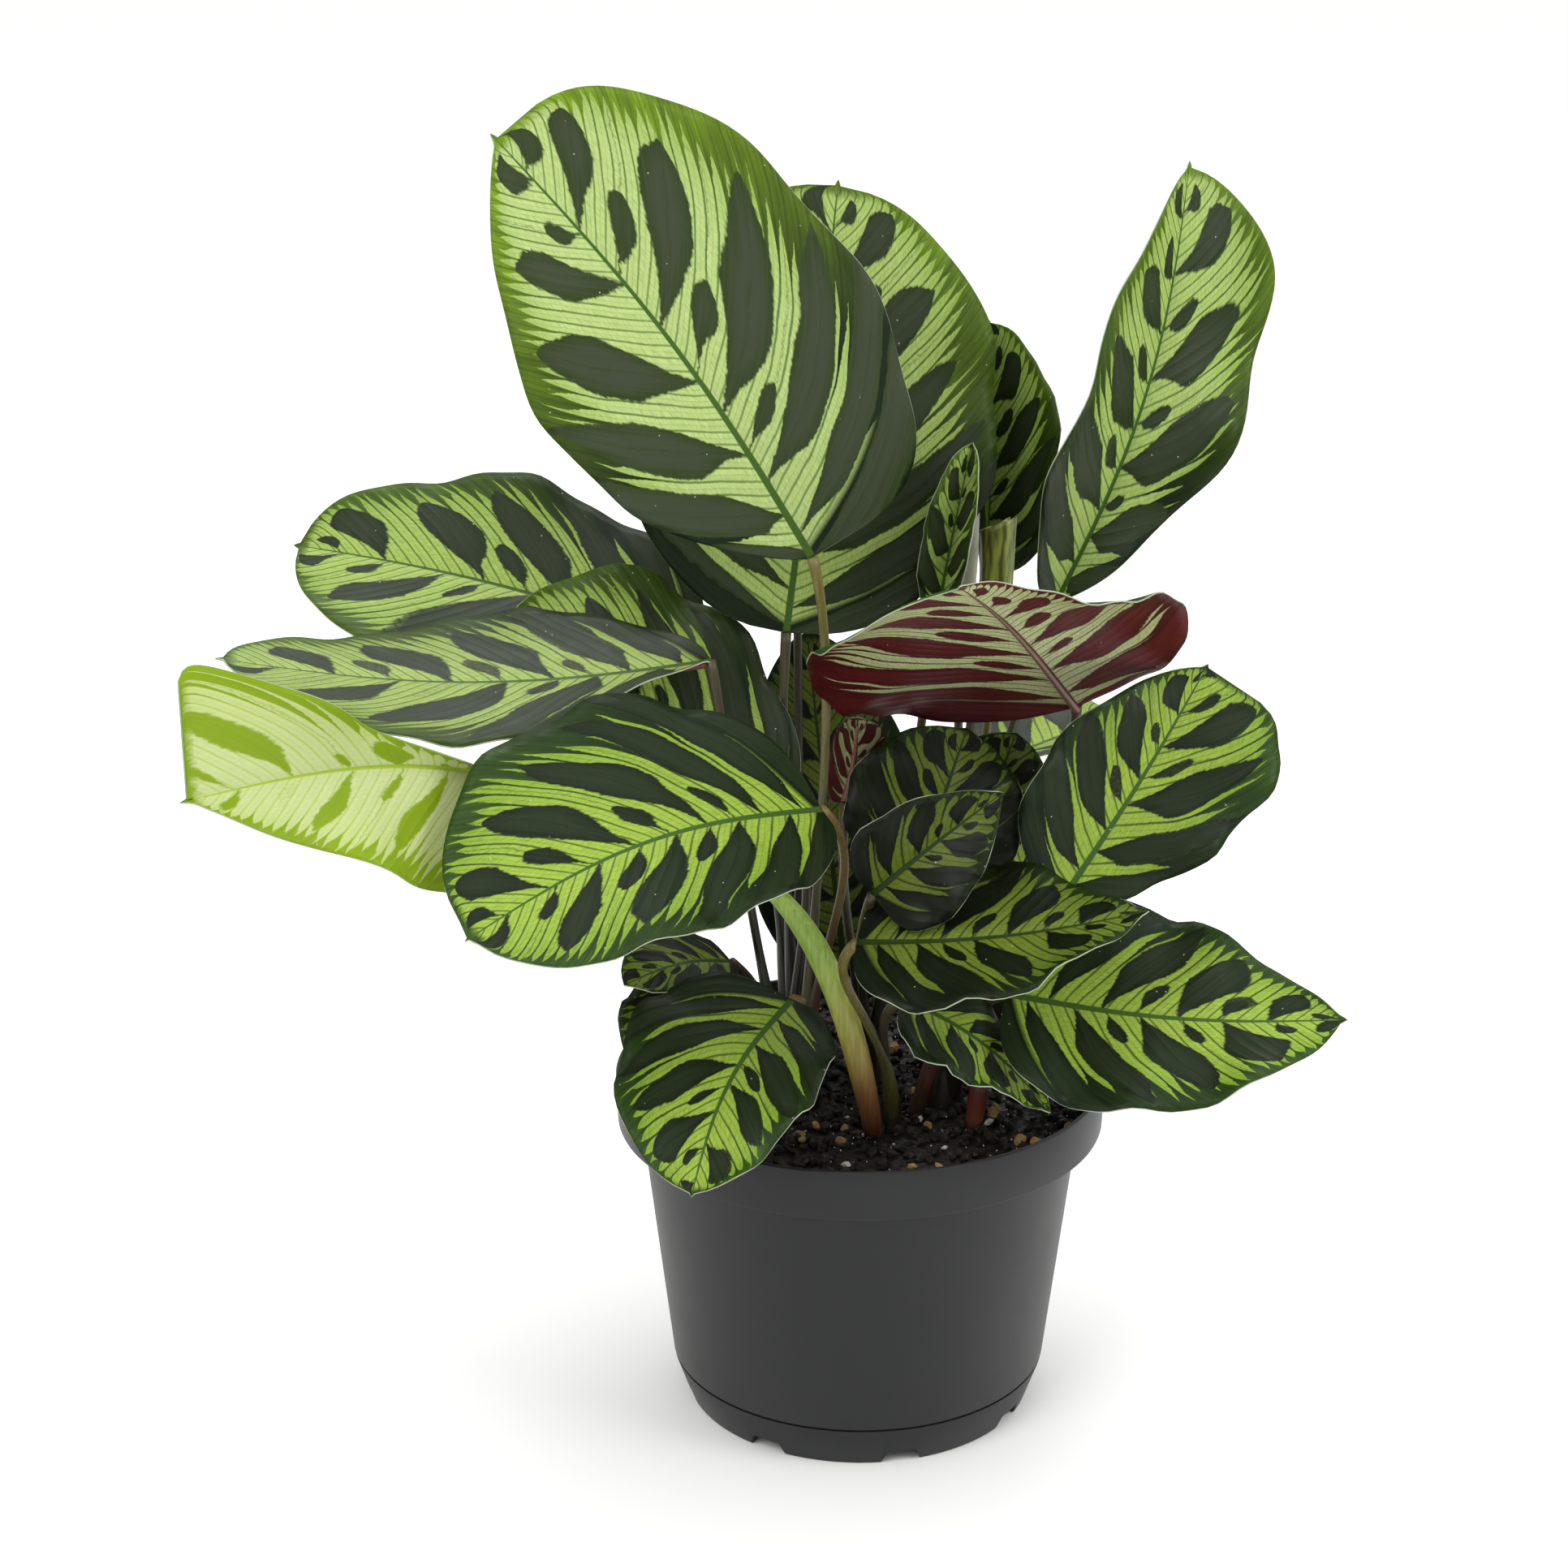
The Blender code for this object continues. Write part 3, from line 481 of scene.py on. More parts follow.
gap = node(pattern, "ShaderNodeMath", [stored["away"]], operation="ABSOLUTE")
right = node(pattern, "ShaderNodeMath", [stored["away"], 0.0], operation="GREATER_THAN")


def shake(across_scale, along_scale, detail):
    """A noise about zero that is stretched along or across the veins."""
    x = node(pattern, "ShaderNodeMath", [stored["away"], across_scale],
             operation="MULTIPLY")
    y = node(pattern, "ShaderNodeMath", [stored["vein"], along_scale],
             operation="MULTIPLY")
    place = node(pattern, "ShaderNodeCombineXYZ", [x, y, stored["leaf_seed"]])
    noise = node(pattern, "ShaderNodeTexNoise", {"Vector": place, "Scale": 1.0,
                                                 "Detail": detail})
    return node(pattern, "ShaderNodeMath", [noise, 0.5], operation="SUBTRACT")


teeth = shake(0.9, 0.35, 2.5)           # scales are features for each mm
bend = shake(0.07, 0.05, 1.0)
other_half = node(pattern, "ShaderNodeMath", [right, 1.0], operation="SUBTRACT")
number = stored["number"]
for shift, amount in ((other_half, 0.45), (teeth, 0.08), (bend, 0.22)):
    number = node(pattern, "ShaderNodeMath", [shift, amount, number],
                  operation="MULTIPLY_ADD")
print("pattern masks:", MASKS)

# %% [markdown]
# ## One oval
# An oval is long and round-ended, narrow where it comes from the midrib, and it reaches
# a third of the way to the next one. The same few nodes draw a large or a small one.
# Every oval also has a spine, and its middle is painted paler as a painted sheen.

# %% Ovals that differ at random
def spread(whole, offset):
    """A steady random number for each oval or vein of each side of each leaf."""
    key = node(pattern, "ShaderNodeMath", [right, 17.0, whole], operation="MULTIPLY_ADD")
    for more in (stored["leaf_seed"], offset):
        key = node(pattern, "ShaderNodeMath", [key, more], operation="ADD")
    return node(pattern, "ShaderNodeTexWhiteNoise", {"W": key}, "Value",
                noise_dimensions="1D")


def ovals_at(whole, middle, length, half, present, tie_end):
    """Masks of the ovals at each whole number: oval, painted sheen, spine and tie.

    They lie about `middle` on the way from midrib to margin and reach `length` to both
    sides of it. The tie is a short dark vein from the oval to the midrib.
    """
    x = node(pattern, "ShaderNodeMath", [far, middle], operation="SUBTRACT")
    x = node(pattern, "ShaderNodeMath", [x, length], operation="DIVIDE")
    square = node(pattern, "ShaderNodeMath", [x, x], operation="MULTIPLY")
    round_end = node(pattern, "ShaderNodeMath", [1.0, square], operation="SUBTRACT",
                     use_clamp=True)
    bulge = node(pattern, "ShaderNodeMath", [round_end, 0.82], operation="POWER")
    taper = node(pattern, "ShaderNodeMapRange", [far, 0.02, 0.40, 0.25, 1.0])
    wide = given["Oval Width"]
    for factor in (bulge, taper, half):
        wide = node(pattern, "ShaderNodeMath", [wide, factor], operation="MULTIPLY")
    aside = node(pattern, "ShaderNodeMath", [number, whole], operation="SUBTRACT")
    aside = node(pattern, "ShaderNodeMath", [aside], operation="ABSOLUTE")
    depth = node(pattern, "ShaderNodeMath", [wide, aside], operation="SUBTRACT")
    oval = node(pattern, "ShaderNodeMapRange", [depth, -0.014, 0.014])
    # painted sheen: the middle of the oval, where a paler colour stands for the wax's sheen
    painted_sheen = node(pattern, "ShaderNodeMapRange", [depth, 0.03, 0.2])
    spine = node(pattern, "ShaderNodeMapRange", [aside, 0.022, 0.006])
    near = node(pattern, "ShaderNodeMapRange", [far, *tie_end])
    tie = node(pattern, "ShaderNodeMath", [spine, near], operation="MULTIPLY")
    oval, painted_sheen, tie = [node(pattern, "ShaderNodeMath", [mask, present],
                            operation="MULTIPLY") for mask in (oval, painted_sheen, tie)]
    return oval, painted_sheen, spine, tie


print("nodes before the first oval:", len(pattern.nodes))

# %% [markdown]
# ## Large and small ovals
# Large ovals stand at the whole numbers. Near the tip they stop short, and near the base
# they join the dark margin. Small ones stand between them, close to the midrib, and
# about one in five is missing.

# %% Both kinds of oval
LAST_LARGE, FIRST_SMALL, LAST_SMALL = 4.5, 1.0, 4.8
MISSING = 0.2

whole = node(pattern, "ShaderNodeMath", [number], operation="ROUND")
chance = spread(whole, 0.0)
end = node(pattern, "ShaderNodeMath", [0.34, whole], operation="POWER")
end = node(pattern, "ShaderNodeMath", [end, 0.72, 0.67], operation="MULTIPLY_ADD")
end = node(pattern, "ShaderNodeMath", [chance, 0.12, end], operation="MULTIPLY_ADD")
middle = node(pattern, "ShaderNodeMath", [end, 0.5, -0.005], operation="MULTIPLY_ADD")
length = node(pattern, "ShaderNodeMath", [end, 0.5, 0.005], operation="MULTIPLY_ADD")
# ovals near the tip are slimmer, and those near the base are stouter
fat = node(pattern, "ShaderNodeMath", [chance, 0.07, 0.31], operation="MULTIPLY_ADD")
place = node(pattern, "ShaderNodeMath", [whole, right], operation="SUBTRACT")
for factor in (node(pattern, "ShaderNodeMapRange", [place, 2.2, 4.0, 1.0, 0.5]),
               node(pattern, "ShaderNodeMapRange", [whole, -0.5, 1.5, 1.25, 1.0])):
    fat = node(pattern, "ShaderNodeMath", [fat, factor], operation="MULTIPLY")
present = node(pattern, "ShaderNodeMath", [whole, LAST_LARGE], operation="LESS_THAN")
large = ovals_at(whole, middle, length, fat, present, (0.16, 0.12))

between = node(pattern, "ShaderNodeMath", [number], operation="FLOOR")
between = node(pattern, "ShaderNodeMath", [between, 0.5], operation="ADD")
luck = spread(between, 5.0)
middle, length, fat = [
    node(pattern, "ShaderNodeMath", [luck, more, least], operation="MULTIPLY_ADD")
    for least, more in ((0.15, 0.06), (0.10, 0.06), (0.16, 0.10))]
present = node(pattern, "ShaderNodeMath", [luck, MISSING], operation="GREATER_THAN")
for test in (
        node(pattern, "ShaderNodeMath", [between, FIRST_SMALL], operation="GREATER_THAN"),
        node(pattern, "ShaderNodeMath", [between, LAST_SMALL], operation="LESS_THAN")):
    present = node(pattern, "ShaderNodeMath", [present, test], operation="MULTIPLY")
small = ovals_at(between, middle, length, fat, present, (0.13, 0.10))

oval, painted_sheen, spine, tie = [node(pattern, "ShaderNodeMath", pair, operation="MAXIMUM")
                          for pair in zip(large, small)]
# the painted sheen is fainter along the oval's spine
dull = node(pattern, "ShaderNodeMath", [spine, -0.5, 1.0], operation="MULTIPLY_ADD")
painted_sheen = node(pattern, "ShaderNodeMath", [painted_sheen, dull], operation="MULTIPLY")
print("nodes with all ovals:", len(pattern.nodes))

# %% [markdown]
# ## Fine veins and the comb of the margin
# Fine veins leave the midrib every 4.6 mm. Each is a thin line near the midrib and
# widens outwards from a place of its own, until they all meet in the dark margin. So the
# margin's inner edge is a comb with one finger for each vein. The shore is where the
# comb's fingers end on average.

# %% Veins and margin
VEIN_SPACING = 4.6              # mm between the places where veins leave the midrib

strand = stored["vein"]
for shift, amount in ((teeth, 0.5), (bend, 3.0)):
    strand = node(pattern, "ShaderNodeMath", [shift, amount, strand],
                  operation="MULTIPLY_ADD")
strand = node(pattern, "ShaderNodeMath", [strand, VEIN_SPACING], operation="DIVIDE")
whole = node(pattern, "ShaderNodeMath", [strand], operation="ROUND")
aside = node(pattern, "ShaderNodeMath", [strand, whole], operation="SUBTRACT")
aside = node(pattern, "ShaderNodeMath", [aside], operation="ABSOLUTE")
aside = node(pattern, "ShaderNodeMath", [aside, 2.0], operation="MULTIPLY")

shore = node(pattern, "ShaderNodeMapRange", [stored["start"], 0.0, 0.45, 0.78, 0.87])
shore = node(pattern, "ShaderNodeMath", [bend, 0.14, shore], operation="MULTIPLY_ADD")
shore = node(pattern, "ShaderNodeMath", [shore, given["Margin Start"]], operation="ADD")
luck = node(pattern, "ShaderNodeMath", [spread(whole, 9.0), 1.8], operation="POWER")
inner = node(pattern, "ShaderNodeMath", [shore, 0.24], operation="SUBTRACT")
inner = node(pattern, "ShaderNodeMath", [luck, -0.34, inner], operation="MULTIPLY_ADD")
outer = node(pattern, "ShaderNodeMath", [shore, 0.05], operation="SUBTRACT")
outer = node(pattern, "ShaderNodeMath", [spread(whole, 3.0), 0.19, outer],
             operation="MULTIPLY_ADD")

# a finger's half-width grows from nothing at its inner end to all the way at its outer
passed = node(pattern, "ShaderNodeMath", [far, inner], operation="SUBTRACT")
span = node(pattern, "ShaderNodeMath", [outer, inner], operation="SUBTRACT")
grow = node(pattern, "ShaderNodeMath", [passed, span], operation="DIVIDE", use_clamp=True)
grow = node(pattern, "ShaderNodeMath", [grow, 2.2], operation="POWER")
grow = node(pattern, "ShaderNodeMath", [grow, 1.12], operation="MULTIPLY")
grow = node(pattern, "ShaderNodeMath", [teeth, 0.3, grow], operation="MULTIPLY_ADD")
depth = node(pattern, "ShaderNodeMath", [grow, aside], operation="SUBTRACT")
finger = node(pattern, "ShaderNodeMapRange", [depth, -0.05, 0.07])
started = node(pattern, "ShaderNodeMath", [far, inner], operation="GREATER_THAN")
margin = node(pattern, "ShaderNodeMath", [finger, started], operation="MULTIPLY")
# the very tip and the corners at the base are dark too
near_tip = node(pattern, "ShaderNodeMath", [teeth, 0.03, stored["along"]],
                operation="MULTIPLY_ADD")
for corner in (node(pattern, "ShaderNodeMapRange", [near_tip, 0.955, 0.975]),
               node(pattern, "ShaderNodeMapRange", [stored["start"], 0.03, 0.012])):
    margin = node(pattern, "ShaderNodeMath", [margin, corner], operation="MAXIMUM")
print("nodes with the margin:", len(pattern.nodes))

# %% [markdown]
# ## Lines, weave and relief
# The last masks are the lines of the fine veins with a fainter line halfway between two
# of them, the midrib that tapers from 2.5 to 0.5 mm, and the weave of tiny cross veins.
# Between its veins the blade is raised a little, which a bump can give.

# %% Lines, weave and relief
vein = node(pattern, "ShaderNodeMapRange", [aside, 0.25, 0.10])
strength = node(pattern, "ShaderNodeMapRange", [far, 0.05, 0.7, 0.7, 0.95])
vein = node(pattern, "ShaderNodeMath", [vein, strength], operation="MULTIPLY")
halfway = node(pattern, "ShaderNodeMapRange", [aside, 0.90, 0.98])
for line, strength in ((halfway, 0.3), (tie, 0.95)):
    line = node(pattern, "ShaderNodeMath", [line, strength], operation="MULTIPLY")
    vein = node(pattern, "ShaderNodeMath", [vein, line], operation="MAXIMUM")

weave = node(pattern, "ShaderNodeMath", [shake(3.4, 0.30, 2.0), 0.5], operation="ADD")
half = node(pattern, "ShaderNodeMapRange", [stored["along"], 0.0, 1.0, 1.25, 0.25])
outside = node(pattern, "ShaderNodeMath", [gap, half], operation="SUBTRACT")
middle = node(pattern, "ShaderNodeMapRange", [outside, 0.12, -0.12])
rib = node(pattern, "ShaderNodeMapRange", [gap, 0.0, 3.0])
for _ in range(2):
    rib = node(pattern, "ShaderNodeMath", [rib, aside], operation="MULTIPLY")
node(pattern, "NodeGroupOutput", dict(zip(MASKS, (oval, painted_sheen, margin, vein, middle, weave,
                                                  rib))))
print("pattern nodes:", len(pattern.nodes))

# %% [markdown]
# ## A waxy leaf skin
# A leaf is waxy: its skin mirrors a little light, so dark ovals can look grey where
# they face a lamp. A Principled shader with the index of refraction of plant wax, near
# 1.4, and a roughness near 0.4 gives that satin. Masks from the pattern group lay the
# colours over one another in turn: ground, fine veins, margin, ovals with their painted
# sheen, midrib, then a painted shade that darkens the leaves deep in the plant, and last
# a few grains of pale dust.

# %% A leaf finish
WAX_IOR = 1.4
WAX_MIRROR = 0.22               # specular level, low because the wax is thin
RIB_HEIGHT = 0.2 * MM
# painted shade: the colour that multiplies the leaves that lie in the shade of the others
PAINTED_SHADE_TINT = "#96908a"
DUST = "#c9cfc0"
DUST_SCALE = 170.0              # for each metre, so a grain may lie each 6 mm


def over(tree, base, *layers):
    """Lay colours over a base in turn, each where its mask is 1."""
    for mask, colour in layers:
        base = node(tree, "ShaderNodeMix", {"Factor": mask, 6: base, 7: colour}, 2,
                    data_type="RGBA")
    return base


def leaf_finish(name, colours, rough, oval_width=1.0, margin_start=0.0):
    """A waxy leaf skin in the given colours, with ribs that catch the light."""
    made, tree, shader = new_finish(name)
    colour = {key: linear(code) for key, code in colours.items()}
    masks = node(tree, "ShaderNodeGroup", {"Oval Width": oval_width,
                                           "Margin Start": margin_start},
                 node_tree=pattern).node.outputs
    stored = {key: node(tree, "ShaderNodeAttribute", out="Fac", attribute_name=key)
              for key in ("share", "away", "vein", "along", "tone", "shade", "leaf_seed")}
    tone = stored["tone"]
    far = node(tree, "ShaderNodeMath", [stored["share"]], operation="ABSOLUTE")
    # two noises along the veins: broad clouds and narrow streaks, scales for each mm
    place = node(tree, "ShaderNodeCombineXYZ",
                 [stored["away"], stored["vein"], stored["leaf_seed"]])
    cloud, streak = [
        node(tree, "ShaderNodeTexNoise", {
            "Vector": node(tree, "ShaderNodeMapping", {"Vector": place, "Scale": scale}),
            "Scale": 1.0, "Detail": 3.0})
        for scale in ((0.10, 0.10, 1.0), (0.06, 0.9, 1.0))]
    streak = node(tree, "ShaderNodeMapRange", [streak, 0.42, 0.72])
    soft = {key: node(tree, "ShaderNodeMapRange", numbers) for key, numbers in {
        "outwards": [far, 0.2, 0.8],
        "by_margin": [far, 0.55, 0.95, 0.0, 0.8],
        "to_tip": [stored["along"], 0.30, 0.92],
        "weave": [masks["Weave"], 0.42, 0.62, 0.0, 0.30],
        "cloud": [cloud, 0.3, 0.7, 0.0, 0.5],
        "margin_streak": [streak, 0.0, 1.0, 0.0, 0.35],
        "margin_vein": [masks["Vein"], 0.0, 1.0, 0.0, 0.3],
        "oval_painted_sheen": [masks["Painted Sheen"], 0.0, 1.0, 0.0, 0.75],
        "oval_streak": [streak, 0.0, 1.0, 0.0, 0.6],
        "oval_vein": [masks["Vein"], 0.0, 1.0, 0.0, 0.35],
    }.items()}
    line = over(tree, colour["vein"], (tone, colour["vein_tone"]))
    tip_edge = over(tree, colour["margin_tip"], (tone, colour["margin_tone"]))
    edge = over(tree, colour["margin"], (soft["to_tip"], tip_edge),
                (soft["cloud"], colour["margin"]),
                (soft["margin_streak"], colour["oval_light"]),
                (soft["margin_vein"], colour["oval"]))
    pale = over(tree, colour["oval_light"], (tone, colour["core_tone"]))
    # painted sheen: the middle of each oval takes the pale colour
    spot = over(tree, colour["oval"], (tone, colour["oval_tone"]),
                (soft["oval_painted_sheen"], pale), (soft["oval_streak"], pale),
                (soft["oval_vein"], pale))
    skin = over(tree, colour["ground"], (soft["outwards"], colour["ground_far"]),
                (tone, colour["ground_tone"]), (soft["by_margin"], colour["ground_far"]),
                (soft["weave"], line), (masks["Vein"], line), (masks["Margin"], edge),
                (masks["Oval"], spot), (masks["Midrib"], colour["midrib"]))
    # painted shade: each leaf is darkened by its stored shade value
    skin = node(tree, "ShaderNodeMix", {"Factor": stored["shade"], 6: skin,
                                        7: linear(PAINTED_SHADE_TINT)}, 2,
                data_type="RGBA", blend_type="MULTIPLY")
    grains = node(tree, "ShaderNodeTexVoronoi", {
        "Vector": node(tree, "ShaderNodeTexCoord", out="Object"), "Scale": DUST_SCALE,
        "Randomness": 1.0}, "Distance")
    dust = node(tree, "ShaderNodeMapRange", [grains, 0.045, 0.03, 0.0, 0.7])
    node(tree, shader, {
        "Base Color": over(tree, skin, (dust, linear(DUST))),
        "Roughness": node(tree, "ShaderNodeMapRange",
                          [cloud, 0.3, 0.7, rough - 0.06, rough + 0.08]),
        "IOR": WAX_IOR, "Specular IOR Level": WAX_MIRROR,
        "Normal": node(tree, "ShaderNodeBump", {"Height": masks["Rib"], "Strength": 0.6,
                                                "Distance": RIB_HEIGHT})})
    return made


print("a leaf finish takes", len(MASKS), "masks")

# %% [markdown]
# ## The three leaf colourings
# The upper side is green with nearly black ovals, and its underside is the same pattern
# in maroon. A young leaf is still pale all over. A colour whose name ends in tone is
# that of a leaf with a nearly white ground.

# %% Upper side, underside and young leaf
upper_skin = leaf_finish("waxy_leaf_upper_side", dict(
    ground="#93b03a", ground_far="#7d9c2c", ground_tone="#b0c47c",
    vein="#1e2e0e", vein_tone="#4c6a28", midrib="#3c5a20",
    margin="#101e0a", margin_tip="#2c4a15", margin_tone="#7b9c1e",
    oval="#0a1407", oval_light="#1f2c15", oval_tone="#2a3a10", core_tone="#3c4333"),
    rough=0.42)
under_skin = leaf_finish("waxy_leaf_maroon_underside", dict(
    ground="#b9c38e", ground_far="#a5ae7a", ground_tone="#b9c38e",
    vein="#4a1a18", vein_tone="#4a1a18", midrib="#5a2c20",
    margin="#3c0a0e", margin_tip="#480e14", margin_tone="#480e14",
    oval="#38080c", oval_light="#551418", oval_tone="#38080c", core_tone="#551418"),
    rough=0.46, margin_start=0.05)
young_skin = leaf_finish("young_leaf_skin", dict(
    ground="#bac68e", ground_far="#b2c078", ground_tone="#bac68e",
    vein="#a3b45a", vein_tone="#a3b45a", midrib="#93ab30",
    margin="#7c9816", margin_tip="#7a9612", margin_tone="#7a9612",
    oval="#7c9618", oval_light="#6c8812", oval_tone="#7c9618", core_tone="#7f9a1c"),
    rough=0.36, oval_width=0.52, margin_start=0.02)
print("leaf finishes:", upper_skin.name, under_skin.name, young_skin.name)

# %% [markdown]
# ## Cut edges and ribs
# A blade's cut edge is pale and the rib under it is brown. Both are plant fibre with
# little pattern of their own, so a noise of about 4 mm only mottles one colour.

# %% Mottled finishes
MOTTLE_SCALE = 260.0            # for each metre, so a blotch is about 4 mm wide
MOTTLE_DARK = 0.62              # how bright the dark blotches are


def mottled_finish(name, code, rough):
    """Dull plant fibre in one colour with darker blotches."""
    made, tree, shader = new_finish(name)
    place = node(tree, "ShaderNodeTexCoord", out="Object")
    cloud = node(tree, "ShaderNodeTexNoise", {"Vector": place, "Scale": MOTTLE_SCALE,
                                              "Detail": 3.0})
    full = linear(code)
    dark = (*[MOTTLE_DARK * part for part in full[:3]], 1.0)
    node(tree, shader, {"Base Color": over(tree, dark, (cloud, full)),
                        "Roughness": rough})
    return made


edge_skin = mottled_finish("pale_leaf_edge", "#a9b596", 0.5)
rib_skin = mottled_finish("maroon_rib_under_a_leaf", "#6e4030", 0.45)
print("mottled finishes:", edge_skin.name, rib_skin.name)

# %% [markdown]
# ## Sheets from a grid
# Blades, sheaths and the soil all start as Blender's flat grid. Its points move to the
# places that a formula gives, and a Solidify modifier gives the sheet its thickness.

# %% From a formula to a mesh
def take_mesh(work, mesh):
    """Write a bmesh into a mesh and free it."""
    work.to_mesh(mesh)
    work.free()
    return mesh


def grid_mesh(name, points):
    """A mesh of points[i, j], made from a flat grid."""
    rows, cols = points.shape[0] - 1, points.shape[1] - 1
    work = bmesh.new()
    bmesh.ops.create_grid(work, x_segments=cols, y_segments=rows, size=1.0)
    mesh = take_mesh(work, bpy.data.meshes.new(name))
    flat = np.zeros(len(mesh.vertices) * 3)
    mesh.vertices.foreach_get("co", flat)
    flat = flat.reshape(-1, 3)
    i = np.rint((flat[:, 1] + 1) / 2 * rows).astype(int)
    j = np.rint((flat[:, 0] + 1) / 2 * cols).astype(int)
    mesh.vertices.foreach_set("co", (points[i, j] * MM).ravel())
    return mesh, i, j


def weld(mesh, distance=0.004):
    """Join points that lie together, so the mesh is closed. distance is in mm."""
    work = bmesh.new()
    work.from_mesh(mesh)
    bmesh.ops.remove_doubles(work, verts=work.verts, dist=distance * MM)
    bmesh.ops.dissolve_degenerate(work, edges=work.edges, dist=0.001 * MM)
    take_mesh(work, mesh)


test = grid_mesh("test_sheet", np.zeros((3, 4, 3)))[0]
print("a grid of 2 by 3 squares has", len(test.vertices), "points")
bpy.data.meshes.remove(test)

# %% [markdown]
# ## From a mesh to a piece
# A mesh shows once an object holds it. The export reads plain meshes, so what a modifier
# makes is kept as the object's own mesh, and what grew as one is joined to one object.

# %% Objects, thickness and joining
def show(name, mesh, materials):
    """Put a mesh in the scene, smooth, with its materials."""
    item = bpy.data.objects.new(name, mesh)
    bpy.context.scene.collection.objects.link(item)
    for finish in materials:
        mesh.materials.append(finish)
    mesh.shade_smooth()
    return item


def keep_shape(item):
    """Make what an object's modifiers show its own mesh."""
    shape = item.evaluated_get(bpy.context.evaluated_depsgraph_get())
    item.data = bpy.data.meshes.new_from_object(shape)
    item.modifiers.clear()


def thicken(item, thickness, offset=0.0, **settings):
    """Make a sheet a closed solid with Solidify."""
    shell = item.modifiers.new("Thickness", "SOLIDIFY")
    for name, value in dict(thickness=thickness, offset=offset, **settings).items():
        setattr(shell, name, value)
    keep_shape(item)


def join(items):
    """Make one object of several and keep the first one's name."""
    bpy.ops.object.select_all(action="DESELECT")
    with bpy.context.temp_override(active_object=items[0], object=items[0],
                                   selected_objects=items,
                                   selected_editable_objects=items):
        bpy.ops.object.join()
    return items[0]


# %% [markdown]
# ## Tubes along a route
# Ribs and stalks are round and change their thickness along their length. A curve with
# a bevel would do that too, but its rings twist freely. Here each ring takes the last
# one's side direction, so the colours and the squash keep their place.

# %% A tube
RIB_SIDES, STALK_SIDES, CROWN_SIDES, OLD_STALK_SIDES = 8, 14, 20, 12


def tube(name, route, radii, sides, materials, marks=None, squash=1.0):
    """A closed tube along route, in mm. marks are values for each point of the route."""
    route, radii = np.asarray(route, float), np.asarray(radii, float)
    ahead = unit(np.gradient(route, axis=0))
    side = unit(np.cross(ahead[0], [0.3, 0.9, 0.2]))    # any way but along the tube
    turn = np.linspace(0, 2 * np.pi, sides + 1)
    rings = []
    for place, way, radius in zip(route, ahead, radii):
        side = unit(side - (side @ way) * way)
        other = np.cross(way, side)
        rings.append(place + radius * (np.cos(turn)[:, None] * side
                                       + squash * np.sin(turn)[:, None] * other))
    rings = np.array([np.broadcast_to(route[0], rings[0].shape), *rings,
                      np.broadcast_to(route[-1], rings[0].shape)])
    mesh, i, _ = grid_mesh(name, rings)
    step = np.clip(i - 1, 0, len(route) - 1)
    give_marks(mesh, {key: np.asarray(values)[step]
                      for key, values in (marks or {}).items()})
    weld(mesh)
    work = bmesh.new()
    work.from_mesh(mesh)
    bmesh.ops.recalc_face_normals(work, faces=work.faces)
    take_mesh(work, mesh)
    return show(name, mesh, materials)


print("sides of a rib, a stalk, a crown and an old stalk:", RIB_SIDES, STALK_SIDES,
      CROWN_SIDES, OLD_STALK_SIDES)

# %% [markdown]
# ## The leaves
# Each blade is a sheet with one finish above, one below and one at its edge. The
# columns of its grid crowd together near the midrib, so that the groove is sharp. Under
# the blade runs the midrib, a rib that tapers to the tip.

# %% Blades with their ribs
SHEET = 0.45 * MM               # a real blade is about this thick
ROW_STEP, COLUMN_STEP = 2.4, 5  # mm between the grid's rows, and columns on average
RIB_RINGS = 24
RIB_RADII = (1.25, 0.3)         # mm at the base and near the tip


def make_leaf(row):
    """One blade with its rib, as one piece that stands for its CAD node."""
    dice = random.Random(row["name"])
    length = np.linalg.norm(np.subtract(row["tip"], row["base"]))
    rows = int(np.clip(length / ROW_STEP, 16, 60))
    half_cols = int(np.clip(row["width"] / COLUMN_STEP, 7, 16))
    even = np.linspace(0, 1, rows + 1)
    ease = (1 - np.cos(np.pi * even)) / 2
    side = np.linspace(-1, 1, 2 * half_cols + 1)
    s, t = np.meshgrid(0.6 * ease + 0.4 * even, np.sign(side) * np.abs(side) ** 1.3,
                       indexing="ij")
    mesh, i, j = grid_mesh(row["name"], blade_points(row, s, t, dice))
    give_marks(mesh, {key: values[i, j] for key, values in blade_marks(row, s, t).items()})
    weld(mesh)
    young = row["name"] == "leaf_young"
    skins = [young_skin, young_skin] if young else [upper_skin, under_skin]
    blade = show("skin_of_" + row["name"], mesh, [*skins, edge_skin, rib_skin])
    thicken(blade, SHEET, material_offset=1, material_offset_rim=2)
    reach = np.linspace(0.0, 0.9, RIB_RINGS)
    centre, _, above = blade_frame(row, reach, np.zeros_like(reach))
    radii = np.linspace(*RIB_RADII, RIB_RINGS)
    groove = groove_depth(reach) * np.sqrt(np.sin(np.pi * reach))
    route = centre - above * (groove + radii * 0.8)[:, None]
    return join([blade, tube("rib", route, radii, RIB_SIDES, [rib_skin])])


leaves = {}
for row in LEAVES:
    leaves[row["name"]] = make_leaf(row)
    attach(leaves[row["name"]], "root")
    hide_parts(row["name"])
print("leaves:", len(leaves), "triangles:", sum(
    len(p.vertices) - 2 for piece in leaves.values() for p in piece.data.polygons))

# %% [markdown]
# ## Where the stalks run
# A peacock plant has no trunk. Each leaf has its own stalk, whose foot is a sheath that
# wraps its neighbours. High up it is slim and dark, and just under the blade it swells
# to a knee that turns the leaf to the light. A curve with two handles, the same that the
# CAD part follows, takes it from its shoot to its blade.

# %% Stalk routes
STALK_RADIUS = 1.45             # mm
KNEE_RADIUS = 1.75              # mm
KNEE_LENGTH = 13.0              # mm
STALK_RINGS = 40


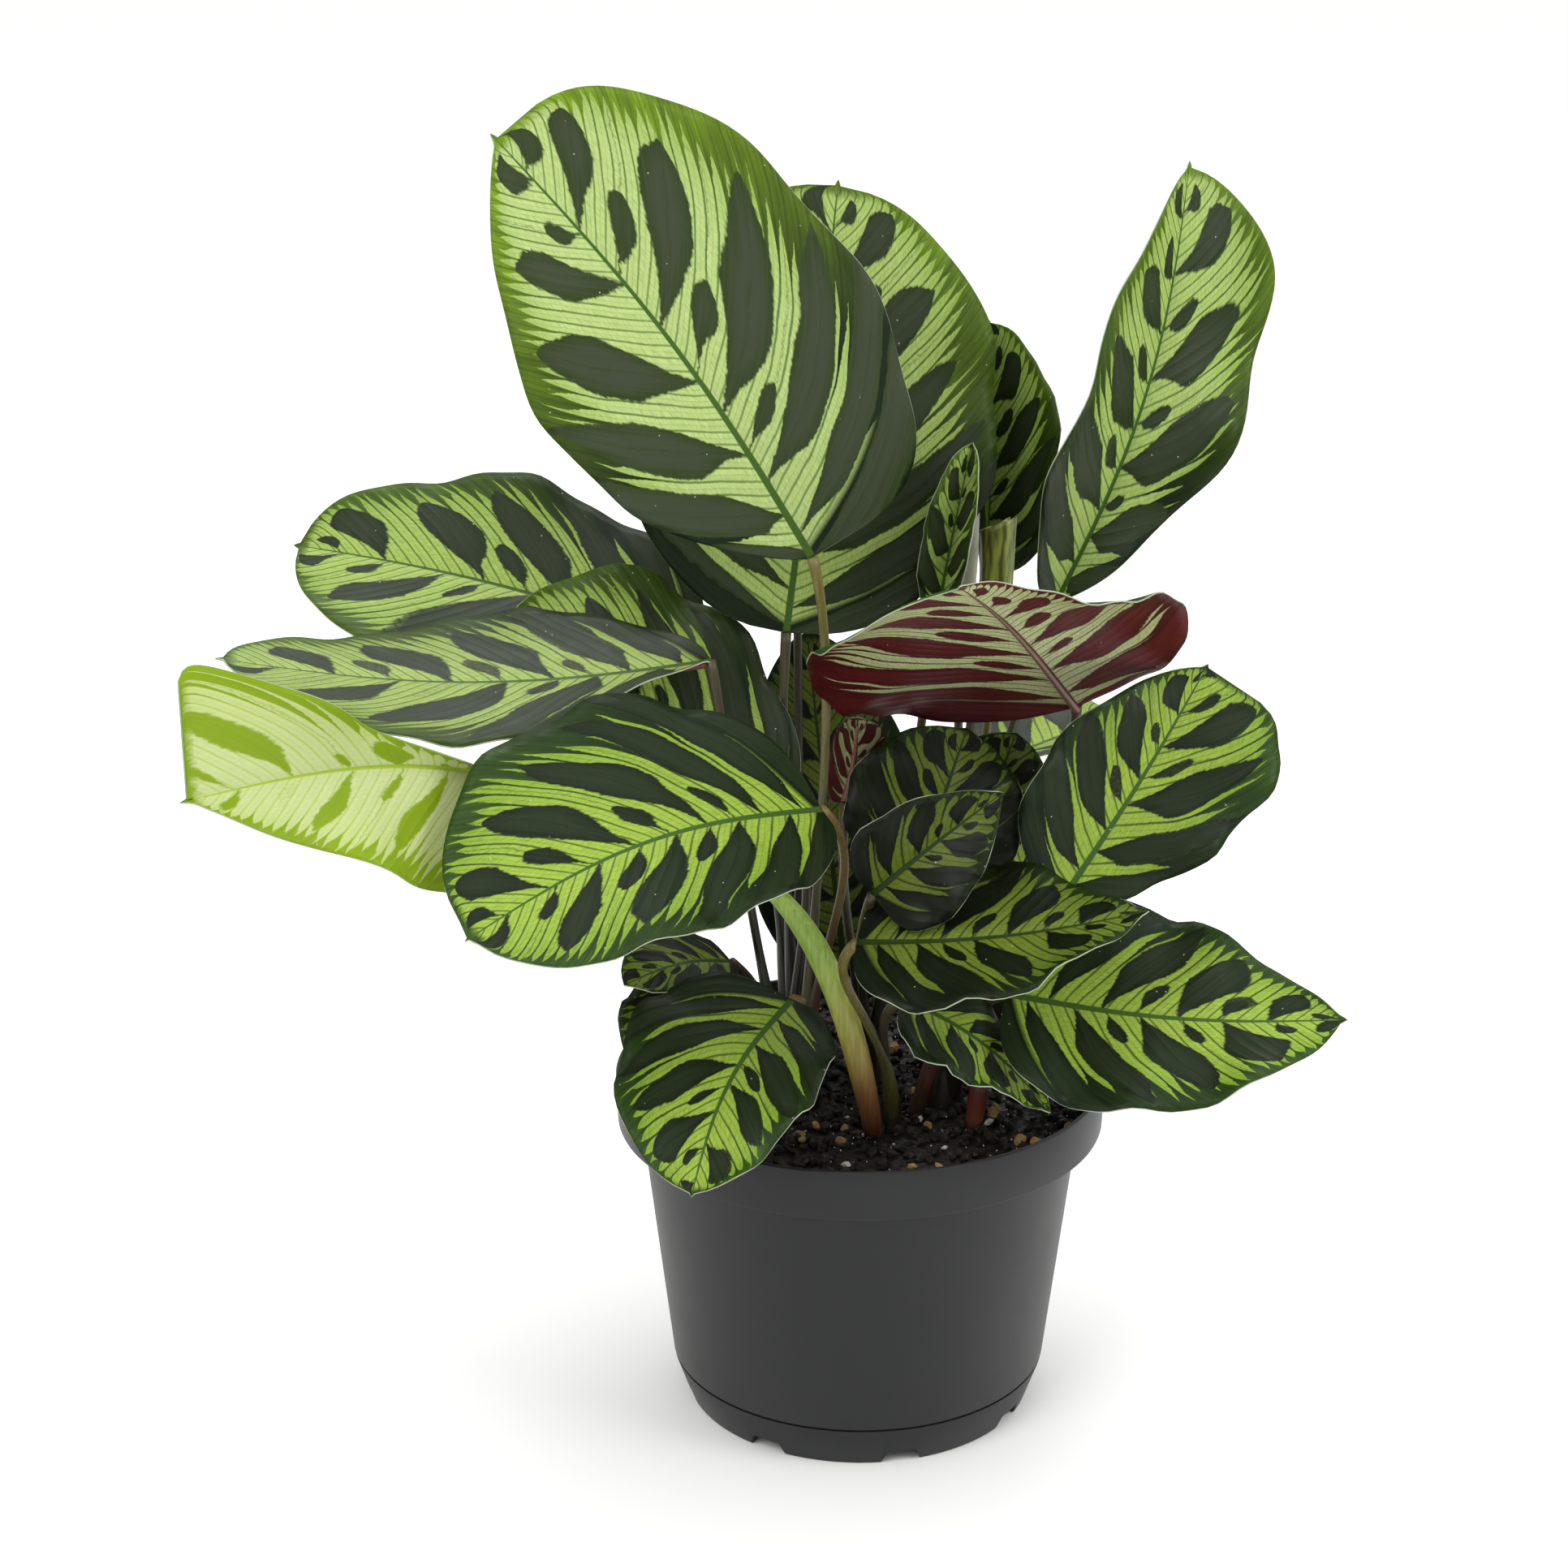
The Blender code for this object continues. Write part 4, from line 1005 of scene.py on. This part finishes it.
def stalk_route(row):
    """The stalk's centre line from inside its shoot to the blade, in mm."""
    base = np.array(row["base"], float)
    shoot = SHOOTS[row["shoot"]]
    middle = np.array([*shoot["at"], SOIL_LEVEL + 0.5])
    outward = base[:2] - middle[:2]
    outward = outward / max(np.hypot(*outward), 1e-6)
    room = max(shoot["radius"] - row["sheath"][0] - 1.0, 0.0)
    foot = middle + np.array([*(outward * room), 0.0])
    start = unit(midrib(row, np.array([0.04]))[0][0] - midrib(row, np.array([0.0]))[0][0])
    straight = unit(base - foot)
    span = np.linalg.norm(base - foot)
    first = unit(np.array([*(outward * 0.12 + np.array(row["lean"])), 1.0]))
    last = unit(row["bend"] * start + (1 - row["bend"]) * straight)
    handles = (foot, foot + first * span * row["rise"],
               base - last * span * row["reach"], base)
    t = np.linspace(0, 1, STALK_RINGS)[:, None]
    weights = (1 - t) ** 3, 3 * (1 - t) ** 2 * t, 3 * (1 - t) * t ** 2, t ** 3
    return sum(weight * handle for weight, handle in zip(weights, handles))


def stalk_radii(row, route):
    """Thick in its sheath at the foot, slim above, swollen at the knee, in mm."""
    sheath, share = row["sheath"]
    steps = np.linalg.norm(np.diff(route, axis=0), axis=1)
    reach = np.concatenate([[0], np.cumsum(steps)])
    fade = np.clip(2.5 * (1 - reach / reach[-1] / share), 0, 1)
    radii = STALK_RADIUS + (sheath - STALK_RADIUS) * fade
    radii = np.minimum(radii, SHOOTS[row["shoot"]]["radius"] - 0.6 + 0.12 * reach)
    radii = np.where(reach[-1] - reach < KNEE_LENGTH, KNEE_RADIUS, radii)
    return np.convolve(np.pad(radii, 2, mode="edge"), np.full(5, 0.2), "valid")


print("the first stalk starts at", stalk_route(LEAVES[0])[0].round(1), "mm")

# %% [markdown]
# ## Stalk skin
# A stalk is fibrous: long fibres about a millimetre wide, which a noise that is
# stretched along the height gives. Its colour runs from a rusty foot to a green top. It
# differs from stalk to stalk, so it is stored on the points and one finish does for all.

# %% Stalk colours and skin
STALK_COLOURS = {
    "dark": ["#2c1a14", "#2e2016", "#2a2414", "#202014", "#4c4626"],
    "green": ["#6a3a24", "#a07040", "#c4c85a", "#b6e266", "#bce472"],
    "rusty": ["#4c2418", "#7c4028", "#8a5234", "#4a3a24", "#86723e"],
    "pale": ["#3a2418", "#4c4a22", "#5c5e2a", "#4c4c26", "#8a8244"],
}
STALK_STOPS = [0.0, 0.05, 0.13, 0.26, 1.0]
STALK_KINDS = {"leaf_young": "green", "leaf_front_left": "rusty", "leaf_over_rim": "rusty",
               "leaf_front_right": "pale", "leaf_rolled": "pale", "leaf_top_left": "pale"}
FIBRE_SCALES = (900.0, 900.0, 60.0)     # for each metre, across and along a stalk


def stalk_marks(codes, stops, down):
    """Red, green and blue along a stalk, from its foot to its leaf."""
    colours = np.array([linear(code)[:3] for code in codes])
    return {"stalk_" + name: np.interp(down, stops, colours[:, part])
            for part, name in enumerate(("red", "green", "blue"))}


stalk_skin, tree, shader = new_finish("fibrous_stalk_skin")
skin = node(tree, "ShaderNodeCombineColor", [
    node(tree, "ShaderNodeAttribute", out="Fac", attribute_name=name)
    for name in ("stalk_red", "stalk_green", "stalk_blue")])
place = node(tree, "ShaderNodeMapping", {
    "Vector": node(tree, "ShaderNodeTexCoord", out="Object"), "Scale": FIBRE_SCALES})
fibre = node(tree, "ShaderNodeTexNoise", {"Vector": place, "Scale": 1.0, "Detail": 3.0})
shaded = node(tree, "ShaderNodeMix", {"Factor": 1.0, 6: skin, 7: linear("#9a8a80")}, 2,
              data_type="RGBA", blend_type="MULTIPLY")
node(tree, shader, {
    "Base Color": over(tree, skin, (fibre, shaded)), "Roughness": 0.45,
    "Normal": node(tree, "ShaderNodeBump", {"Height": fibre, "Strength": 0.3,
                                            "Distance": 0.3 * MM})})
print("stalk colours:", list(STALK_COLOURS))

# %% [markdown]
# ## Shoots
# The stalks of a shoot and the crown that they rise from grew as one, so they are one
# piece. The crown is a short thick tube that narrows upwards.

# %% Stalks and crown of each shoot
for name, shoot in SHOOTS.items():
    x, y = shoot["at"]
    heights = np.array([-6, 0, 1.5, 5, 0.6 * shoot["height"], shoot["height"]])
    radii = shoot["radius"] * np.array([0.95, 1.0, 1.0, 0.95, 0.78, 0.45])
    route = np.stack([np.full(6, x), np.full(6, y), SOIL_LEVEL + heights], axis=1)
    items = [tube("skin_of_shoot_" + name, route, radii, CROWN_SIDES, [stalk_skin],
                  stalk_marks(STALK_COLOURS["dark"], STALK_STOPS, np.linspace(0, 0.3, 6)))]
    for row in LEAVES + SPIKES:
        if row["shoot"] == name:
            route = stalk_route(row)
            codes = STALK_COLOURS[STALK_KINDS.get(row["name"], "dark")]
            items.append(tube(
                "stalk", route, stalk_radii(row, route), STALK_SIDES, [stalk_skin],
                stalk_marks(codes, STALK_STOPS, np.linspace(0, 1, STALK_RINGS))))
    piece = join(items)
    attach(piece, "root")
    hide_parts("shoot_" + name)
    print("shoot", name, "has", len(items) - 1, "stalks")

# %% [markdown]
# ## Rolled leaf and pale sheath
# A new leaf comes up rolled like a paper tube out of a pale sheath. The roll is a sheet
# that winds a turn and a half, thinner than a grown blade, and it shows long green and
# brown bands. The sheath is half a turn of papery fibre that runs out to a point.

# %% Wound sheets
YOUNG_SHEET = 0.35 * MM
BAND_COUNTS = (26.0, 3.0)       # bands round the whole sheet, and along it


def wound_sheet(name, row, turns, inner, widths, finish, slant=0.0):
    """A sheet wound round the row's midrib.

    inner is the inner end's share of the radius, widths the outline from foot to top,
    and slant how far the top's far side is cut down.
    """
    low, high = np.array(row["base"], float), np.array(row["tip"], float)
    s, w = np.meshgrid(np.linspace(0, 1, 25), np.linspace(0, 1, 41), indexing="ij")
    angle = 2 * np.pi * turns * w
    belly = np.interp(s, [0, 0.15, 0.5, 0.85, 1], widths)
    radius = row["width"] / 2 * belly * (inner + (1 - inner) * w)
    rise = s * (1 + slant * (np.cos(angle) - 1) * 0.5)
    axis = low + (high - low) * rise[..., None]
    points = axis + np.stack([radius * np.cos(angle + 0.6), -radius * np.sin(angle + 0.6),
                              np.zeros_like(s)], axis=-1)
    mesh, i, j = grid_mesh(name, points)
    give_marks(mesh, {"down": s[i, j], "turn": w[i, j]})
    item = show(name, mesh, [finish])
    thicken(item, YOUNG_SHEET)
    return item


rolled_skin, tree, shader = new_finish("rolled_young_leaf_skin")
place = node(tree, "ShaderNodeCombineXYZ", [
    node(tree, "ShaderNodeMath", [
        node(tree, "ShaderNodeAttribute", out="Fac", attribute_name=name), count],
        operation="MULTIPLY")
    for name, count in zip(("turn", "down"), BAND_COUNTS)])
band = node(tree, "ShaderNodeTexNoise", {"Vector": place, "Scale": 1.0, "Detail": 2.0})
band = node(tree, "ShaderNodeMapRange", [band, 0.38, 0.62])
node(tree, shader, {"Base Color": over(tree, linear("#3c3a12"), (band, linear("#77822e"))),
                    "Roughness": 0.4})
roll = wound_sheet("skin_of_leaf_rolled", SPIKES[0], 1.6, 0.55,
                   [0.7, 0.95, 1.0, 1.05, 1.1], rolled_skin, slant=0.12)
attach(roll, "root")
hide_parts("leaf_rolled")

sheath_skin = mottled_finish("dry_papery_sheath", "#d9d8cc", 0.55)
sheath = wound_sheet("skin_of_leaf_sheath_pale", SPIKES[1], 0.55, 1.0,
                     [0.8, 1.0, 0.9, 0.55, 0.08], sheath_skin)
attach(sheath, "root")
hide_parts("leaf_sheath_pale")
print("rolled leaf faces:", len(roll.data.polygons))

# %% [markdown]
# ## Old stalks
# Two old stalks stand by themselves in the soil, one red and broken and one brown and
# dry. Each is a short tube, a little flattened, in the skin of the other stalks.

# %% Old stalks
for stub, codes in zip(OLD_STALKS, (["#5a3020", "#8a4c34", "#7c3328", "#4a2018"],
                                    ["#2c1a12", "#4a2c1c", "#5c3a26", "#3a2418"])):
    share = np.linspace(-0.3, 1.0, 14)      # below 0 it is in the soil
    lean = stub["height"] * np.clip(share, 0, 1)
    route = np.stack([stub["at"][0] + stub["lean"][0] * lean,
                      stub["at"][1] + stub["lean"][1] * lean,
                      SOIL_LEVEL + stub["height"] * share], axis=1)
    radii = stub["radius"] * np.interp(share, [-0.3, 0, 0.5, 0.9, 1],
                                       [1, 1, 1.2, 1.05, 0.6])
    piece = tube("skin_of_" + stub["name"], route, radii, OLD_STALK_SIDES, [stalk_skin],
                 stalk_marks(codes, [0, 0.2, 0.6, 1], share), squash=0.8)
    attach(piece, "root")
    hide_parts(stub["name"])
print("old stalks:", len(OLD_STALKS))

# %% [markdown]
# ## The pot's outline
# The pot is moulded polypropylene: a thin tapering wall, an upright band round the
# rim, a seam above the foot, a foot ring, and a raised floor with a pad in its middle.
# It is turned on a Screw modifier from the profile of its wall.

# %% Pot profile
RIM_RADIUS = 82.5               # mm, as all of the pot's sizes
POT_HEIGHT = 118.0
RIM_HEIGHT = 17.4
SHOULDER_RADIUS = 74.0
SEAM_RADIUS = 64.0
SEAM_HEIGHT = 15.0
FOOT_RADIUS = 58.8
FOOT_RING = 3.2
FLOOR_HEIGHT = 6.8
PAD_RADIUS = 20.0
WALL = 1.5
TURN_STEPS = 160


def pot_profile():
    """Inner side from the middle of the floor up to the rim, then down the outside."""
    ledge = POT_HEIGHT - RIM_HEIGHT
    floor_top = FLOOR_HEIGHT + WALL
    lip = 0.55 * WALL
    rim = [(RIM_RADIUS - lip + lip * math.sin(a), POT_HEIGHT - lip + lip * math.cos(a))
           for a in np.radians(np.linspace(-80, 80, 9))]
    return [
        (0.0, WALL), (PAD_RADIUS - 0.8 * WALL, WALL), (PAD_RADIUS + 0.8 * WALL, floor_top),
        (SEAM_RADIUS - 2.6 * WALL, floor_top), (SEAM_RADIUS - WALL, SEAM_HEIGHT),
        (SHOULDER_RADIUS - WALL, ledge + WALL),
        (RIM_RADIUS - 1.6 * WALL, ledge + 2 * WALL),
        *rim,
        (RIM_RADIUS - 0.5, ledge + 1.0), (RIM_RADIUS - 0.8, ledge + 0.3),
        (RIM_RADIUS - 1.4, ledge), (SHOULDER_RADIUS + 0.8, ledge),
        (SHOULDER_RADIUS + 0.1, ledge - 0.6), (SHOULDER_RADIUS - 0.1, ledge - 2.0),
        (SEAM_RADIUS, SEAM_HEIGHT + 0.7), (SEAM_RADIUS - 0.25, SEAM_HEIGHT + 0.35),
        (SEAM_RADIUS - 0.9, SEAM_HEIGHT + 0.3), (SEAM_RADIUS - 0.9, SEAM_HEIGHT - 0.3),
        (SEAM_RADIUS - 0.3, SEAM_HEIGHT - 0.4), (SEAM_RADIUS - 0.35, SEAM_HEIGHT - 1.0),
        (FOOT_RADIUS + 0.2, 0.8), (FOOT_RADIUS - 0.4, 0.0),
        (FOOT_RADIUS - FOOT_RING, 0.0), (FOOT_RADIUS - FOOT_RING, FLOOR_HEIGHT),
        (PAD_RADIUS + 1.9 * WALL, FLOOR_HEIGHT), (PAD_RADIUS + 0.3 * WALL, 0.0), (0.0, 0.0),
    ]


work = bmesh.new()
corners = [work.verts.new((radius * MM, 0.0, height * MM))
           for radius, height in pot_profile()]
for pair in zip(corners, corners[1:]):
    work.edges.new(pair)
pot = bpy.data.objects.new("skin_of_pot",
                           take_mesh(work, bpy.data.meshes.new("skin_of_pot")))
bpy.context.scene.collection.objects.link(pot)
screw = pot.modifiers.new("Turn", "SCREW")
screw.steps = screw.render_steps = TURN_STEPS
screw.use_merge_vertices = True
screw.merge_threshold = 0.01 * MM
print("pot profile points:", len(corners))

# %% [markdown]
# ## Notches and drain holes
# Notches round the foot let water run out from under the pot, and round holes in the
# floor let it out of the soil. All their cutters are one mesh, so one Boolean cuts them.

# %% Cut the pot
NOTCH_COUNT, NOTCH_TURN = 8, 13.0       # the first notch is 13 degrees off the front
NOTCH_WIDTH, NOTCH_HEIGHT = 13.0, 4.6   # mm
NOTCH_DEPTH = 12.0                      # mm, right through the foot
HOLE_COUNT, HOLE_RADIUS, HOLES_RADIUS = 6, 4.5, 39.0

work = bmesh.new()
for index in range(NOTCH_COUNT):
    angle = math.radians(-90.0 + NOTCH_TURN + index * 360.0 / NOTCH_COUNT)
    for vert in bmesh.ops.create_cube(work, size=1.0)["verts"]:
        top = vert.co.z > 0
        half = NOTCH_WIDTH * (0.38 if top else 0.55)
        vert.co = Vector((FOOT_RADIUS + vert.co.x * NOTCH_DEPTH,
                          math.copysign(half, vert.co.y),
                          NOTCH_HEIGHT if top else -1.0)) * MM
        vert.co.rotate(Matrix.Rotation(angle, 3, "Z"))
for index in range(HOLE_COUNT):
    angle = math.radians(index * 360.0 / HOLE_COUNT)
    place = Vector((HOLES_RADIUS * math.cos(angle), HOLES_RADIUS * math.sin(angle),
                    FLOOR_HEIGHT + 0.5 * WALL)) * MM
    bmesh.ops.create_cone(work, cap_ends=True, segments=32, radius1=HOLE_RADIUS * MM,
                          radius2=HOLE_RADIUS * MM, depth=3 * WALL * MM,
                          matrix=Matrix.Translation(place))
cutters = bpy.data.objects.new("cutters", take_mesh(work, bpy.data.meshes.new("cutters")))
bpy.context.scene.collection.objects.link(cutters)
cut = pot.modifiers.new("Notches", "BOOLEAN")
cut.operation = "DIFFERENCE"
cut.solver = "EXACT"
cut.object = cutters
keep_shape(pot)
bpy.data.objects.remove(cutters, do_unlink=True)
pot.data.shade_smooth()
pot.data.set_sharp_from_angle(angle=math.radians(35))
print("pot faces:", len(pot.data.polygons))

# %% [markdown]
# ## Satin black polypropylene
# Fresh from a fine-spark mould this black is a soft satin. Its index of refraction is
# 1.49. Flow in the mould leaves clouds of about 3 cm that are slightly duller and
# greyer, which one noise gives to both the colour and the roughness.

# %% Pot finish
CLOUD_SCALE = 30.0              # for each metre, so a cloud is about 3 cm wide

plastic, tree, shader = new_finish("satin_black_polypropylene")
cloud = node(tree, "ShaderNodeTexNoise", {
    "Vector": node(tree, "ShaderNodeTexCoord", out="Object"), "Scale": CLOUD_SCALE,
    "Detail": 4.0})
node(tree, shader, {
    "Base Color": over(tree, linear("#0f1011"), (cloud, linear("#161718"))),
    "Roughness": node(tree, "ShaderNodeMapRange", [cloud, 0.0, 1.0, 0.38, 0.5]),
    "IOR": 1.49, "Specular IOR Level": 0.4})
pot.data.materials.clear()
pot.data.materials.append(plastic)
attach(pot, "root")
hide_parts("pot")
print("pot finish:", plastic.name)

# %% [markdown]
# ## Peat, perlite and bark
# Potting mix is peat crumbs, bark chips and white perlite. Wet peat is nearly black and
# glints here and there, so its roughness changes from spot to spot. Perlite and bark are
# dry and dull. A noise of one to two millimetres is the grain of each.

# %% Soil finishes
GRAIN_HEIGHT = 1.0 * MM


def grain_finish(name, dark, light, roughness, scale):
    """Crumbly matter between two colours. scale is in grains for each metre."""
    made, tree, shader = new_finish(name)
    grain = node(tree, "ShaderNodeTexNoise", {
        "Vector": node(tree, "ShaderNodeTexCoord", out="Object"), "Scale": scale,
        "Detail": 5.0})
    node(tree, shader, {
        "Base Color": over(tree, linear(dark), (grain, linear(light))),
        "Roughness": node(tree, "ShaderNodeMapRange", [grain, 0.35, 0.6, *roughness]),
        "Normal": node(tree, "ShaderNodeBump", {"Height": grain, "Strength": 0.8,
                                                "Distance": GRAIN_HEIGHT})})
    return made


grain_finishes = [
    grain_finish("damp_peat", "#020101", "#1e140b", (0.45, 1.0), 420.0),
    grain_finish("white_perlite", "#a8a296", "#f4f1ea", (0.7, 0.9), 1200.0),
    grain_finish("tan_bark_chips", "#6c5028", "#c8a562", (0.6, 0.85), 900.0)]
print("soil finishes:", [finish.name for finish in grain_finishes])

# %% [markdown]
# ## The soil's surface
# The surface is a thin disc whose points are shaken up and down by sums of sines: long
# ones for the swells that watering leaves, and short ones for lumps under the crumbs.

# %% Soil surface
SOIL_RADIUS = 79.4              # mm, just inside the pot's wall
SOIL_SHEET = 4 * MM
SWELL, LUMP = 1.2, 0.13         # mm up and down
WAVES = ((0.9, 0.5, 0.3), (-0.6, 1.1, 1.7), (1.4, -0.8, 2.9), (0.3, -1.6, 4.1),
         (2.1, 1.3, 0.8))


def swell_at(x, y):
    """Height of the long swells at a place on the soil, in mm."""
    return SWELL * (np.sin(x * 0.095 + 1.3) * np.cos(y * 0.11 - 0.4)
                    + 0.6 * np.sin(x * 0.21 - y * 0.17))


s, w = np.meshgrid(np.linspace(0, 1, 56), np.linspace(0, 1, 181), indexing="ij")
x = SOIL_RADIUS * s * np.cos(2 * np.pi * w)
y = SOIL_RADIUS * s * np.sin(2 * np.pi * w)
lumps = LUMP * sum(np.sin(x * a + y * b + c) for a, b, c in WAVES)
mesh, _, _ = grid_mesh("skin_of_soil", np.stack(
    [x, y, SOIL_LEVEL + swell_at(x, y) + lumps], axis=-1))
weld(mesh, 0.01)
mesh.flip_normals()             # the disc's good side is its top
soil = show("skin_of_soil", mesh, grain_finishes)
thicken(soil, SOIL_SHEET, offset=-1.0)
print("soil surface faces:", len(soil.data.polygons))

# %% [markdown]
# ## Crumbs
# Crumbs of peat, specks and grains of perlite and chips of bark lie strewn on it and
# sink about halfway in. Each is a small ball whose points are shaken in and out.

# %% Crumbs
PEAT, PERLITE, BARK = 0, 1, 2
STREWN = ((PEAT, 1400, 0.5, 2.3), (PERLITE, 380, 0.18, 0.42), (PERLITE, 32, 0.7, 1.8),
          (BARK, 48, 0.8, 2.3))     # kind, how many, least and largest radius in mm
STREWN_RADIUS = 77.5                # mm

dice = random.Random(7)
work = bmesh.new()
for kind, count, least, largest in STREWN:
    for _ in range(count):
        angle = dice.uniform(0, 2 * math.pi)
        reach = STREWN_RADIUS * math.sqrt(dice.random())
        px, py = reach * math.cos(angle), reach * math.sin(angle)
        size = dice.uniform(least, largest)
        lift = 0.5 * size + (0.2 if kind == PEAT else 0.9)
        place = Vector((px, py, SOIL_LEVEL + float(swell_at(px, py)) + lift)) * MM
        matrix = (Matrix.Translation(place)
                  @ Matrix.Rotation(dice.uniform(0, 6.28), 4, "Z")
                  @ Matrix.Rotation(dice.uniform(0, 6.28), 4, "X")
                  @ Matrix.Diagonal((dice.uniform(0.8, 1.6), 1.0,
                                     dice.uniform(0.5, 0.9), 1.0)))
        # a peat crumb or a speck is too small to need a finer ball
        fineness = 2 if kind != PEAT and size > 0.5 else 1
        ball = bmesh.ops.create_icosphere(work, subdivisions=fineness, radius=size * MM,
                                          matrix=matrix)
        for vert in ball["verts"]:
            vert.co = place + (vert.co - place) * dice.uniform(0.78, 1.18)
            for face in vert.link_faces:
                face.material_index = kind
crumbs = bpy.data.objects.new("crumbs", take_mesh(work, bpy.data.meshes.new("crumbs")))
bpy.context.scene.collection.objects.link(crumbs)
for finish in grain_finishes:
    crumbs.data.materials.append(finish)
soil = join([soil, crumbs])
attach(soil, "root")
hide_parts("soil")
print("soil faces:", len(soil.data.polygons))
